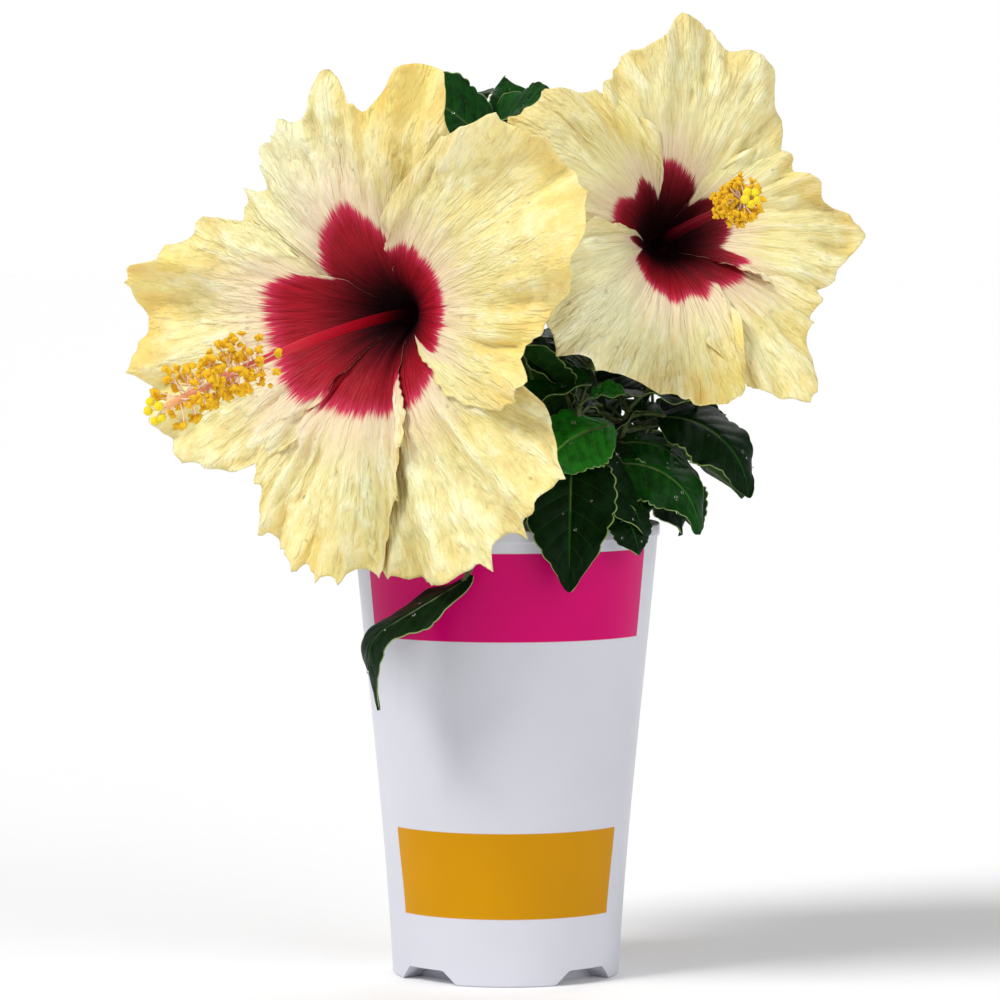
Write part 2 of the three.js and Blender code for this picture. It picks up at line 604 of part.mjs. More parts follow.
// The leaves of one mass: its lead leaves, then each leaf of the spiral at the first turn that fits.
function leavesOf(mass) {
  const stem = stemOf(mass);
  const leaves = mass.lead.map((leaf) => ({ ...leaf }));
  const taken = leaves.flatMap(leafSamples);
  const { count, start, seed } = mass.spiral;
  for (let k = 0; k < count; k += 1) {
    const at = 0.12 + (0.88 * k) / Math.max(1, count - 1);
    const root = stem(at);
    for (let n = 0; n < LEAF_TRIES; n += 1) {
      const spin = dice(seed, 40 * k + 4 * n);
      const long = 0.8 + 0.4 * dice(seed, 40 * k + 4 * n + 1);
      const rise = dice(seed, 40 * k + 4 * n + 2);
      const az = start + SPIRAL * k + (n === 0 ? 0 : 300 * (spin - 0.5));
      const shrink = 1 - 0.025 * n;
      const el = -24 + 66 * rise;
      const level = Math.cos(el * RAD);
      const out = new THREE.Vector3(level * Math.cos(az * RAD), level * Math.sin(az * RAD), Math.sin(el * RAD));
      const base = root.clone().addScaledVector(out, 13 + 9 * long);
      const leaf = {
        at, base: base.toArray(), az, el: el - 6, droop: 30 + 44 * rise, len: 56 * long * shrink,
        wide: 21 * long * shrink, roll: 40 * (spin - 0.5), fold: 12,
      };
      const samples = leafSamples(leaf);
      if (fits(mass, samples, taken)) {
        leaves.push(leaf);
        taken.push(...samples);
        break;
      }
    }
  }
  return leaves;
}

function stemOf(mass) {
  return bowed(limbPaths[mass.bough](1), vec(mass.stem.to), vec(mass.stem.bow));
}

function petiolePath(mass, leaf) {
  const root = stemOf(mass)(leaf.at);
  const end = leafSpine(leaf, 0.06).at;
  const sag = 0.1 * root.distanceTo(end);
  return bowed(root, end, new THREE.Vector3(0, 0, sag));
}

function makeMass(mass) {
  const stem = stemOf(mass);
  const wide = Math.max(TWIG_RADIUS, limbTips[mass.bough] - 0.1);
  const pieces = [tube(stem, (t) => wide + (1.1 - wide) * t, 6, 5)];
  for (const leaf of leavesOf(mass)) {
    pieces.push(blade((a, b) => leafPoint(leaf, a, b), 2, LEAF_ROWS, LEAF_THICKNESS));
    pieces.push(tube(petiolePath(mass, leaf), () => PETIOLE_RADIUS, 2, 3));
  }
  return joined(pieces);
}

// Assembly. Later pieces are cut clear of the grown limbs that they meet.
const group = new THREE.Group();

function add(name, solid, kind) {
  const [colour, roughness] = COLOURS[kind];
  const mesh = largest(solid).getMesh();
  const geometry = new THREE.BufferGeometry();
  geometry.setAttribute('position', new THREE.BufferAttribute(new Float32Array(mesh.vertProperties), 3));
  geometry.setIndex(new THREE.BufferAttribute(new Uint32Array(mesh.triVerts), 1));
  geometry.computeVertexNormals();
  const material = new THREE.MeshStandardMaterial({ color: colour, roughness, metalness: 0 });
  const node = new THREE.Mesh(geometry, material);
  node.name = name;
  group.add(node);
}

add('pot', makePot(), 'pot');
add('potting_mix', makeSoil(), 'potting_mix');
add('trunk', makeTrunk(0), 'trunk');

const grown = { trunk: makeTrunk(CLEARANCE) };
for (const name of Object.keys(BOUGHS)) {
  const others = joined(Object.values(grown));
  add(name, makeBough(name, 0).subtract(others), 'bough');
  grown[name] = makeBough(name, CLEARANCE);
}
const limbs = joined(Object.values(grown));

for (const [side, bloom] of Object.entries(BLOOMS)) {
  add(`${side}_bloom_petals`, makeCorolla(bloom), 'petals');
  add(`${side}_bloom_column`, makeColumn(bloom), 'column');
  add(`${side}_bloom_calyx`, makeCalyx(bloom).subtract(limbs), 'calyx');
}

for (const [name, mass] of Object.entries(MASSES)) {
  add(name, makeMass(mass).subtract(limbs), 'leaves');
}

export default group;
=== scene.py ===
import math
from collections import namedtuple

import bmesh
import bpy
import numpy as np
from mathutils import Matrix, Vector


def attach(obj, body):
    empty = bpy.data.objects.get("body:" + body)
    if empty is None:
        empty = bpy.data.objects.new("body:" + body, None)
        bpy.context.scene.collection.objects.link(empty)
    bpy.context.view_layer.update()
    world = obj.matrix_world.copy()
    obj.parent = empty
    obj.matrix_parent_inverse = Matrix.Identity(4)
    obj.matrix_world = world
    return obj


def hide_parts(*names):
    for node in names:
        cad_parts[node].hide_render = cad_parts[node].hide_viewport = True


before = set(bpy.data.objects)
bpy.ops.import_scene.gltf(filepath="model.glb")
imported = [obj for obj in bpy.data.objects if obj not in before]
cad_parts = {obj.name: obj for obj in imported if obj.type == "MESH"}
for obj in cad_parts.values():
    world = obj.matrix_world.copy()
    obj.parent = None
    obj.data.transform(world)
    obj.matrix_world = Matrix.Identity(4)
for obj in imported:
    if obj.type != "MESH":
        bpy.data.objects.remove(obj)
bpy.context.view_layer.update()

MM = 0.001
RAD = math.pi / 180

# sizes, in millimetres and degrees

# height and radius of the wall's outer face
POT_OUTER = [(0, 42.9), (5.5, 43.3), (23, 44.3), (56, 46.8), (126, 53.6), (160, 56.9), (166.4, 57.4)]
POT_HEIGHT, POT_LIP_RADIUS, POT_LIP_HEIGHT, POT_WALL, POT_FLOOR = 171.2, 58.2, 4.4, 1.8, 7.6
NOTCHES, NOTCH_HEIGHT, NOTCH_DEPTH, NOTCH_HALF_BOTTOM, NOTCH_HALF_TOP = 4, 5.5, 12, 14.4, 9.3
SOIL_TOP = 155
CLEARANCE = 0.3

TRUNK = dict(start=(1, 4, 155.3), to=(-4, 15, 234), bow=(3, 1, 0), base=4.7, tip=2.9)
ROOT_FLARE, ROOT_FLARE_HEIGHT = 3.4, 9
# share of the trunk's length, end, bow, radius at the base and at the tip
Bough = namedtuple("Bough", "share to bow base tip")
BOUGHS = {
    "bough_left_bloom": Bough(0.46, (-9, 9, 212), (-4, -3, -1), 2.5, 2.1),
    "bough_right_bloom": Bough(0.58, (32, 14, 228), (1, 3, -4), 2.6, 2.1),
    "bough_front": Bough(0.22, (17, -18, 184), (3, 0, -2), 2.5, 1.9),
    "bough_right": Bough(0.34, (32, -4, 190), (0, 0, -3), 2.5, 1.9),
    "bough_back_right": Bough(0.54, (22, 36, 210), (1, 1, -4), 2.5, 1.9),
    "bough_back_left": Bough(0.4, (-21, 38, 200), (-1, 1, -4), 2.5, 1.9),
    "bough_left": Bough(0.28, (-31, 6, 184), (0, 0, -3), 2.4, 1.9),
    "bough_top_right": Bough(0.84, (12, 29, 250), (1, 1, -2), 2.2, 1.8),
}

SPIRAL, LEAF_TRIES, LEAF_APART, LIMB_APART = 137.5, 16, 5, 6
SMALL_LEAF_APART, SMALL_LIMB_APART = 2.6, 3.5
LEAF_LENGTH, LEAF_HALF_WIDTH, LEAF_TEETH = 56, 21, 11
VEINS, VEIN_SLANT = 8.5, 1.7  # side veins along a leaf, and how many spacings they run forward
TWIG_RADIUS, TWIG_TRIES, PETIOLE_RADIUS = 1.5, 12, 0.95


def lead(at, base, az, el, droop, length, wide, roll, fold, tone=0, **more):
    """A leaf: its place on the stem, foot, direction, rise, bend, length, half width, roll, fold and tone."""
    return dict(at=at, base=base, az=az, el=el, droop=droop, len=length, wide=wide, roll=roll, fold=fold,
                tone=tone, **more)


# wedge and band are the angles and the heights that hold the mass, end and bow are its stem's, and spiral is
# a count, a first angle and a seed
Mass = namedtuple("Mass", "bough wedge band reach end bow spiral leading")
MASSES = {
    "leaves_front": Mass("bough_front", (-128, -33), (96, 258), 104, (27, -32, 216), (2, -2, 0),
                         (1, 255, 36), [
        lead(0.5, (24.5, -38, 201), -93, -40, 45, 60, 17.5, 0, 8, 0),
        lead(0.6, (40, -34, 209), -150, 0, 60, 40, 16, -35, -10, 2),
        lead(0.9, (32, -22, 224), 190, -4, 30, 30, 12, -30, 30, 1),
        lead(1, (31, -30, 219), -30, 24, 40, 16, 6.5, 30, 20, 2),
        lead(0.7, (13, -14, 208), -112, 74, 46, 44, 16, 0, 10, 0),
        lead(0.85, (37, -10, 214), -160, 46, 40, 32, 12, -40, 10, 0),
        lead(0.2, (40, -38, 180), -55, -20, 60, 25, 12, 0, -14, 0),
        lead(0.05, (-12, -68.2, 155.5), -178, -31, 72, 70, 13, -20, -8, 0, crook=(0.5, 0.8)),
        lead(0.6, (38, -24, 202), -50, -34, 40, 36, 15, 0, 6, 0),
        lead(0.3, (35, -34, 192), -35, -28, 44, 31, 13, 0, -10, 0),
        lead(0.75, (21, -19, 224), 170, 55, 30, 34, 14, -20, 6, 0),
    ]),
    "leaves_right": Mass("bough_right", (-31, 34), (152, 250), 104, (46, -8, 214), (2, 0, -3), (5, 20, 29), [
        lead(0.3, (39, -30, 194), -6, 14, 104, 48, 15, 40, -14, 1),
        lead(0.5, (41, -18, 201), -5, 18, 90, 38, 14, 25, -10, 1),
        lead(0.9, (57, -10, 211), -18, 8, 96, 52, 18, 28, -8, 0),
        lead(1, (38, 0, 221), -12, 4, 26, 36, 12, 16, 12, 0),
        lead(0.15, (44, -13, 190), -20, -14, 60, 34, 15, 10, 0, 0),
    ]),
    "leaves_back_right": Mass("bough_back_right", (36, 91), (152, 250), 106, (34, 52, 234), (2, 2, -2),
                              (9, 40, 99), []),
    "leaves_back_left": Mass("bough_back_left", (93, 152), (152, 250), 104, (-38, 54, 228), (-2, 2, -2),
                             (9, 120, 82), []),
    "leaves_left": Mass("bough_left", (154, 230), (150, 250), 91, (-50, 8, 214), (-2, 0, -3),
                        (8, 170, 108), []),
    "leaves_top_left": Mass("trunk", (91, 269), (252, 350), 96, (-10, 20, 312), (-2, 2, 0), (9, 100, 61), [
        lead(0.95, (-8, 14, 315), 186, 50, 44, 44, 16, -50, 8, 1),
    ]),
    "leaves_top_right": Mass("bough_top_right", (-89, 89), (252, 352), 96, (13, 30, 306), (2, 2, 0),
                             (9, 60, 66), [
        lead(0.95, (-5, 20, 316), -30, 64, 80, 34, 14, 34, 12, 1),
        lead(0.85, (6, 33, 309), 120, 80, 24, 34, 15, 0, 8, 1),
    ]),
}


# the angle of its middle, its half spread, how far it reaches from its first edge to its last, how high those
# two edges, the tip and the ruffles stand, and the ruffles' number and start
Petal = namedtuple("Petal", "mid half reach low high curl ruffle waves phase")


THROAT_RADIUS = 4
# eye: the radius of the red eye at each angle
# notches: how deep the eye falls back at a petal's margin, where it's more than a little
# flaps: folds that stand forward, as petal, from and to across, height
# warm: deeper yellow places, and below zero painted light that makes places lying in shade paler, as petal,
# across, along, spread, strength
BLOOMS = {
    "left": dict(
        throat=(-43.3, -34, 250), yaw=-29, pitch=-1, depth=16, rim=26, opening=20, ragged=1.0, crinkled=1.0,
        petals=[
            Petal(100, 50, (58, 74, 80, 93, 97, 86, 75, 79, 91, 81, 79, 76, 79, 67, 70, 66, 58),
                  -2, -1.4, -4, 4.2, 3.2, 0.1),
            Petal(18, 54, (58, 68, 74, 79, 73, 79, 85, 98, 110, 106, 99, 101, 97, 91, 74, 56, 38),
                  2.2, 2.4, 2, 4.6, 3.4, 0.6),
            Petal(-52, 46, (64, 90, 102, 103, 103, 105, 98, 68, 48), -1.3, -2.2, 3, 4.4, 3.1, 0.3),
            Petal(-101, 38, (45, 60, 82, 96, 96, 94, 89, 66, 48), -1.6, 1.6, 2, 4, 2.6, 0.85),
            Petal(189, 48, (56, 66, 76, 82, 83, 100, 99, 100, 99, 98, 97, 95, 92, 87, 79, 69, 58),
                  1.4, 1.8, -5, 4.4, 3.3, 0.45),
        ],
        column=dict(reach=118, aside=(-24, -29), bend_aside=1.8, bend_up=1.7, anthers_from=0.68,
                    spread=10, seed=5),
        stalk=("bough_left_bloom", (2, 4, 2)), anthers=92, grain=1.0, pads=3.8, dark_shaded_throat=(0.8, 3.0),
        eye=[(-172, 41), (-133, 43), (-109, 38), (-86, 37), (-73, 38), (-56, 39), (-16, 32), (20, 34),
             (52, 33), (75, 29), (100, 43), (120, 37), (144, 27), (165, 44)],
        notches={(1, "low"): 0.62, (3, "high"): 0.34, (4, "low"): 0.2},
        flaps=[(0, 0.06, 0.31, 6.5), (1, 0.03, 0.2, 4), (1, 0.4, 0.56, 4), (3, 0.45, 0.62, 3),
               (4, 0.2, 0.38, 6)],
        warm=[(1, 0.55, 0.8, 0.3, 0.42), (1, 0.14, 0.8, 0.14, 0.7), (1, 0.4, 1, 0.14, 0.5),
              # the place below zero on the first petal is painted light that makes it paler
              (0, 0.7, 0.6, 0.3, -0.9), (0, 0.3, 0.9, 0.17, 1), (0, 0.22, 0.6, 0.15, 0.6),
              (2, 0.7, 0.7, 0.16, 0.4), (3, 0.5, 0.9, 0.14, 0.5),
              (4, 0.42, 0.97, 0.14, 1), (4, 0.3, 0.9, 0.12, 0.6)],
    ),
    "right": dict(
        throat=(61.2, -20, 280), yaw=20, pitch=16, depth=16, rim=24, opening=18, ragged=0.45, crinkled=0.72,
        petals=[
            Petal(80, 50, (42, 50, 57, 62, 71, 72, 70, 73, 79, 79, 71, 68, 68, 61, 60, 52, 44),
                  -1.6, -1.8, -3, 3.8, 3, 0.2),
            Petal(8, 50, (36, 56, 62, 71, 62, 50, 51, 38, 26), 1.8, 1.8, -4, 3.4, 2.8, 0.5),
            Petal(-60.5, 38, (34, 48, 62, 75, 79, 62, 58, 57, 44), -1.8, -1.8, 2, 3.2, 2.6, 0.75),
            Petal(-124, 56, (40, 58, 70, 80, 71, 70, 75, 70, 42), 1.6, 1.8, 3, 3.8, 3.2, 0.05),
            Petal(152, 48, (36, 52, 64, 72, 76, 74, 70, 62, 46), 2, -1.8, -5, 3.8, 3, 0.35),
        ],
        column=dict(reach=84, aside=(-4, -11), bend_aside=1.6, bend_up=1.4, anthers_from=0.8,
                    spread=7.2, seed=9),
        stalk=("bough_right_bloom", (3, 8, 0)), anthers=180, grain=0.7, pads=2.3, dark_shaded_throat=(0.9, 3.1),
        eye=[(-153, 14), (-147, 23), (-119, 30), (-103, 33), (-91, 28), (-81, 31), (-64, 28), (-46, 31),
             (-31, 29), (-25, 19), (-1, 22), (34, 22), (51, 15), (65, 21), (78, 23), (91, 26), (104, 26),
             (107, 19), (117, 19), (126, 24), (143, 20), (150, 23), (158, 27), (178, 28)],
        notches={(3, "low"): 0.7, (4, "low"): 0.3, (2, "low"): 0.25},
        flaps=[(0, 0.5, 0.68, 4), (3, 0.72, 0.92, 4.5), (4, 0.3, 0.5, 3)],
        warm=[(4, 0.2, 0.7, 0.16, 0.8), (4, 0.5, 0.97, 0.12, 0.5), (0, 0.95, 0.7, 0.12, 0.6),
              # the place below zero on the fourth petal is painted light over the shade that the left bloom
              # casts
              (1, 0.5, 0.95, 0.14, 0.4), (3, 0.4, 0.6, 0.4, -0.8), (3, 0.82, 0.85, 0.18, 1)],
    ),
}
PETAL_ACROSS, PETAL_ALONG, PETAL_THICKNESS = 92, 76, 0.5
FOLD_HEIGHT, PLEAT_HEIGHT, CREPE_HEIGHT, FRILL_HEIGHT = 3.0, 1.6, 0.85, 4.4
COLUMN_RADIUS, CALYX_LENGTH, CALYX_RADIUS, SEPAL_LENGTH = 2.1, 20, 12.2, 9
CALYX_DROP = 8  # from the throat's lowest point down to the foot of the calyx
STALK_RADIUS, BRACTS, STIGMA_PADS = 1.6, 6, 5

# arithmetic shared by all the parts


def dice(seed, index):
    """A scattered number from 0 to 1, always the same for the same seed and index."""
    a = (seed * 7919 + index * 6577 + 1013) % 65521
    return ((a * a * 31 + a * 17 + 7) % 65521) / 65521


def soft(x):
    """From 0 to 1 with soft ends, as x goes from 0 to 1."""
    t = np.clip(x, 0, 1)
    return t * t * (3 - 2 * t)


def between(values, share):
    """The smooth curve through values spread evenly from 0 to 1."""
    v = np.asarray(values, float)
    last = len(v) - 1
    place = np.clip(np.asarray(share, float) * last, 0, last - 0.0001)
    i = np.floor(place).astype(int)
    t = place - i
    before, a, b, after = (v[np.clip(i + k, 0, last)] for k in (-1, 0, 1, 2))
    bend = 2 * before - 5 * a + 4 * b - after + t * (3 * (a - b) + after - before)
    return a + 0.5 * t * (b - before + t * bend)


def unit(v):
    v = np.asarray(v, float)
    return v / np.maximum(1e-12, np.linalg.norm(v, axis=-1, keepdims=True))


def heading(az, el=0.0):
    """The direction at az degrees round and el degrees up."""
    level = math.cos(el * RAD)
    return np.array([level * math.cos(az * RAD), level * math.sin(az * RAD), math.sin(el * RAD)])


def bowed(start, to, bow):
    """A path from start to to that is bow off the straight line halfway."""
    p, q, c = (np.asarray(v, float) for v in (start, to, bow))

    def path(t):
        t = np.asarray(t, float)[..., None]
        return p + (q - p) * t + c * 4 * t * (1 - t)

    return path


NOISE_CELLS = 64
TABLES = {}


def noise(x, y, seed):
    """Smooth value noise from -1 to 1."""
    if seed not in TABLES:
        TABLES[seed] = np.random.RandomState(seed).rand(NOISE_CELLS, NOISE_CELLS) * 2 - 1
    table = TABLES[seed]
    x, y = np.broadcast_arrays(np.asarray(x, float), np.asarray(y, float))
    i, j = np.floor(x).astype(int), np.floor(y).astype(int)
    u, v = soft(x - i), soft(y - j)
    i, j, i1, j1 = (k % NOISE_CELLS for k in (i, j, i + 1, j + 1))
    low = table[i, j] * (1 - u) + table[i1, j] * u
    high = table[i, j1] * (1 - u) + table[i1, j1] * u
    return low * (1 - v) + high * v


def fractal(x, y, seed, octaves=3):
    total, size = 0, 1
    for k in range(octaves):
        total = total + noise(x * 2**k, y * 2**k, seed + k) * size
        size *= 0.5
    return total


# meshes


def add_object(name, data):
    ob = bpy.data.objects.new(name, data)
    bpy.context.scene.collection.objects.link(ob)
    return ob


class Bag:
    """Gathers patches of one piece and makes one mesh of them."""

    def __init__(self):
        self.verts, self.faces, self.mats, self.uvs, self.attrs, self.count = [], [], [], [], {}, 0

    def add(self, verts, *patches, uv=None, **attrs):
        """A patch is its faces, counted within verts, and the number of their material."""
        verts = np.asarray(verts, float).reshape(-1, 3)
        self.verts.append(verts)
        for faces, mat in patches:
            self.faces.append(np.asarray(faces, int) + self.count)
            self.mats.append(np.full(len(faces), mat))
        self.uvs.append(np.zeros((len(verts), 2)) if uv is None else np.asarray(uv, float).reshape(-1, 2))
        for key, value in attrs.items():
            value = np.asarray(value, float).reshape(len(verts), -1)
            self.attrs.setdefault(key, []).append((self.count, value))
        self.count += len(verts)

    def mesh(self, name, materials=(), uv=False):
        me = bpy.data.meshes.new(name)
        me.vertices.add(self.count)
        me.vertices.foreach_set("co", (np.concatenate(self.verts) * MM).ravel())
        corners = np.concatenate([f.ravel() for f in self.faces])
        sizes = np.concatenate([np.full(len(f), f.shape[1]) for f in self.faces])
        me.loops.add(len(corners))
        me.loops.foreach_set("vertex_index", corners)
        me.polygons.add(len(sizes))
        me.polygons.foreach_set("loop_start", np.concatenate(([0], np.cumsum(sizes)[:-1])))
        me.polygons.foreach_set("material_index", np.concatenate(self.mats))
        me.polygons.foreach_set("use_smooth", np.ones(len(sizes), bool))
        me.update(calc_edges=True)
        if uv:
            layer = me.uv_layers.new(name="OFBake")
            layer.data.foreach_set("uv", np.concatenate(self.uvs)[corners].ravel())
        for key, parts in self.attrs.items():
            size = parts[0][1].shape[1]
            data = np.zeros((self.count, size))
            for start, value in parts:
                data[start:start + len(value)] = value
            kind, field = ("FLOAT_VECTOR", "vector") if size == 3 else ("FLOAT", "value")
            me.attributes.new(key, kind, "POINT").data.foreach_set(field, data.ravel())
        for m in materials:
            me.materials.append(m)
        return me

    def build(self, name, materials, slot, nodes=(), uv=False):
        ob = add_object(name, self.mesh(name, materials, uv))
        if nodes:
            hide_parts(*nodes)
        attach(ob, "root")
        return ob


def grid_faces(rows, cols, closed=False):
    """Quads of a grid of points; closed joins the last column to the first."""
    j, i = np.meshgrid(np.arange(rows - 1), np.arange(cols if closed else cols - 1), indexing="ij")
    k, k1 = j * cols + i, j * cols + (i + 1) % cols
    return np.stack([k, k1, k1 + cols, k + cols], -1).reshape(-1, 4)


def surface_normals(p):
    across = np.gradient(p, axis=1)
    along = np.gradient(p, axis=0)
    return unit(np.cross(across, along))


def sheet(bag, p, thickness, mats, uv, **attrs):
    """A thin closed blade about the points p[along, across]. mats and uv are for the face that its normal
    leaves and for the other face."""
    rows, cols = p.shape[:2]
    thin = np.full((rows, cols, 1), thickness / 2)
    for margin in (thin[-1], thin[:, 0], thin[:, -1]):
        margin *= 0.4
    offset = surface_normals(p) * thin
    quads = grid_faces(rows, cols)
    ids = np.arange(rows * cols).reshape(rows, cols)
    rim = np.concatenate([ids[0, :-1], ids[:-1, -1], ids[-1, :0:-1], ids[:0:-1, 0]])
    ahead = np.roll(rim, -1)
    back = rows * cols
    strip = np.stack([rim, back + rim, back + ahead, ahead], -1)
    both = {key: np.stack([value, value]) for key, value in attrs.items()}
    bag.add(np.stack([p + offset, p - offset]), (quads, mats[0]), (quads[:, ::-1] + back, mats[1]),
            (strip, mats[0]), uv=np.stack(uv), **both)


def ring_frames(path, count):
    t = np.linspace(0, 1, count)
    ahead = unit(path(np.minimum(1, t + 0.01)) - path(np.maximum(0, t - 0.01)))
    across = np.array([1, 0.13, 0.07])
    sides = []
    for a in ahead:
        across = unit(across - a * across.dot(a))
        sides.append(across)
    sides = np.array(sides)
    return t, path(t), sides, np.cross(ahead, sides)


def closed(bag, rings, ends, mat=0, shift=None, **attrs):
    """A closed body through rings[along, round] of points, with one more point at each end."""
    rows, sides = rings.shape[:2]
    verts = np.concatenate([rings.reshape(-1, 3), ends])
    if shift is not None:
        verts = shift(verts)
    first, last = rows * sides, (rows - 1) * sides
    i = np.arange(sides)
    i1 = (i + 1) % sides
    caps = np.concatenate([np.stack([np.full(sides, first), i1, i], -1),
                           np.stack([np.full(sides, first + 1), last + i, last + i1], -1)])
    bag.add(verts, (grid_faces(rows, sides, closed=True), mat), (caps, mat), **attrs)


def tube(bag, path, radius, rings, sides, relief=None, **attrs):
    """A closed tube. radius and attrs are functions of t; relief(t, turn) is added to the radius."""
    t, centre, side, over = ring_frames(path, rings + 1)
    turn = np.linspace(0, 2 * np.pi, sides, endpoint=False)
    r = np.asarray(radius(t), float)[:, None] + np.zeros((1, sides))
    if relief is not None:
        r = r + relief(t[:, None], turn[None, :])
    x, y = (r * np.cos(turn))[..., None], (r * np.sin(turn))[..., None]
    values = {key: np.concatenate([np.repeat(f(t), sides), f(t[[0, -1]])]) for key, f in attrs.items()}
    closed(bag, centre[:, None] + side[:, None] * x + over[:, None] * y, centre[[0, -1]], **values)


def uneven(height, along, around, seed):
    """The relief of a stem's skin."""
    return lambda t, turn: height * noise(t * along, turn * around, seed)


def lathe(bag, outline, sides, mat=0, shift=None):
    """outline goes from axis to axis as (radius, height); shift(p) moves the points."""
    outline = np.asarray(outline, float)
    turn = np.linspace(0, 2 * np.pi, sides, endpoint=False)
    radius, height = outline[1:-1, :1], outline[1:-1, 1:]
    rings = np.stack([radius * np.cos(turn), radius * np.sin(turn), height + np.zeros((1, sides))], -1)
    closed(bag, rings, [(0, 0, outline[0, 1]), (0, 0, outline[-1, 1])], mat, shift)


def ball(detail):
    bm = bmesh.new()
    bmesh.ops.create_icosphere(bm, subdivisions=detail, radius=1)
    verts = np.array([v.co[:] for v in bm.verts])
    faces = np.array([[v.index for v in f.verts] for f in bm.faces])
    bm.free()
    return verts, faces


BALLS = {k: ball(k) for k in (1, 2, 3)}


def turned(rng):
    q = unit(rng.normal(size=4))
    w, x, y, z = q
    return np.array([[1 - 2 * (y * y + z * z), 2 * (x * y - z * w), 2 * (x * z + y * w)],
                     [2 * (x * y + z * w), 1 - 2 * (x * x + z * z), 2 * (y * z - x * w)],
                     [2 * (x * z - y * w), 2 * (y * z + x * w), 1 - 2 * (x * x + y * y)]])


def lump(bag, at, sizes, rng, detail, rough):
    verts, faces = BALLS[detail]
    v = verts * (1 + rough * rng.normal(size=(len(verts), 1))) * np.asarray(sizes)
    bag.add(v @ turned(rng).T + np.asarray(at), (faces, 0))


# materials


def srgb(r, g, b):
    def linear(c):
        c /= 255
        return c / 12.92 if c <= 0.04045 else ((c + 0.055) / 1.055) ** 2.4

    return (linear(r), linear(g), linear(b), 1)


class Nodes:
    """A material's node tree with short names for what the materials below use."""

    def __init__(self, name, **values):
        self.material = bpy.data.materials.new(name)
        self.material.use_nodes = True
        self.tree = self.material.node_tree
        self.tree.nodes.clear()
        out = self.tree.nodes.new("ShaderNodeOutputMaterial")
        self.shader = self.tree.nodes.new("ShaderNodeBsdfPrincipled")
        self.tree.links.new(self.shader.outputs[0], out.inputs[0])
        for key, value in values.items():
            self.shader.inputs[key.replace("_", " ").title().replace("Ior", "IOR")].default_value = value

    def put(self, socket, value):
        if hasattr(value, "is_output"):
            self.tree.links.new(value, socket)
        else:
            socket.default_value = value

    def done(self, colour, normal=None, roughness=None):
        """The material, with these linked to its shader."""
        for key, value in (("Base Color", colour), ("Normal", normal), ("Roughness", roughness)):
            if value is not None:
                self.put(self.shader.inputs[key], value)
        return self.material

    def new(self, kind, *values, **props):
        """A node with these properties, and its first inputs set to values or linked to them."""
        node = self.tree.nodes.new("ShaderNode" + kind)
        for key, value in props.items():
            setattr(node, key, value)
        for socket, value in zip(node.inputs, values):
            self.put(socket, value)
        return node

    def attr(self, name, vector=False):
        node = self.new("Attribute", attribute_name=name)
        return node.outputs["Vector" if vector else "Fac"]

    def object_place(self):
        return self.new("TexCoord").outputs["Object"]

    def math(self, op, a, b=0.0, clamp=False):
        return self.new("Math", a, b, operation=op, use_clamp=clamp).outputs[0]

    def mul(self, a, b):
        return self.math("MULTIPLY", a, b)

    def add(self, a, b, clamp=False):
        return self.math("ADD", a, b, clamp)

    def sub(self, a, b):
        return self.math("SUBTRACT", a, b)

    def swing(self, grain, by):
        """A noise moved to lie about zero, times by."""
        return self.mul(self.sub(grain, 0.5), by)

    def lines(self, grain):
        """Zero on the winding lines where a noise crosses its middle."""
        return self.math("ABSOLUTE", self.sub(grain, 0.5))

    def split(self, vector):
        return self.new("SeparateXYZ", vector).outputs

    def noise(self, scale, detail=2.0, rough=0.5, at=None, stretch=None):
        """Noise from 0 to 1 over the object, or over the vector at."""
        vector = self.object_place() if at is None else at
        if stretch is not None:
            vector = self.new("VectorMath", vector, stretch, operation="MULTIPLY").outputs[0]
        fourth = 0.0
        return self.new("TexNoise", vector, fourth, scale, detail, rough).outputs["Fac"]

    def step(self, value, low, high, to_low=0.0, to_high=1.0):
        smooth = self.new("MapRange", value, low, high, to_low, to_high, interpolation_type="SMOOTHSTEP")
        return smooth.outputs[0]

    def fall(self, value, low, high, top=1.0):
        return self.step(value, low, high, top, 0.0)

    def mix(self, share, a, b):
        node = self.new("Mix", share, data_type="RGBA")
        for place, colour in ((6, a), (7, b)):
            self.put(node.inputs[place], colour)
        return node.outputs[2]

    def ramp(self, value, *stops):
        node = self.new("ValToRGB", value)
        items = node.color_ramp.elements
        while len(items) < len(stops):
            items.new(0.5)
        for item, (at, colour) in zip(items, stops):
            item.position = at
            item.color = colour
        return node.outputs[0]

    def bump(self, height, strength, distance, under=None):
        node = self.new("Bump", strength, distance)
        self.put(node.inputs["Height"], height)
        if under is not None:
            self.put(node.inputs["Normal"], under)
        return node.outputs[0]


# low and high edge in metres, half angle at the low and the high edge, colour
POT_BANDS = [(0.1297, 0.1627, 65.0, 65.0, srgb(212, 0, 108)), (0.0256, 0.058, 58.0, 60.0, srgb(207, 145, 0))]
BAND_EDGE = 0.0002
WALL_LEAN, WALL_MIDDLE = 0.092, 0.0413  # the wall's middle lies at this radius in metres at the foot


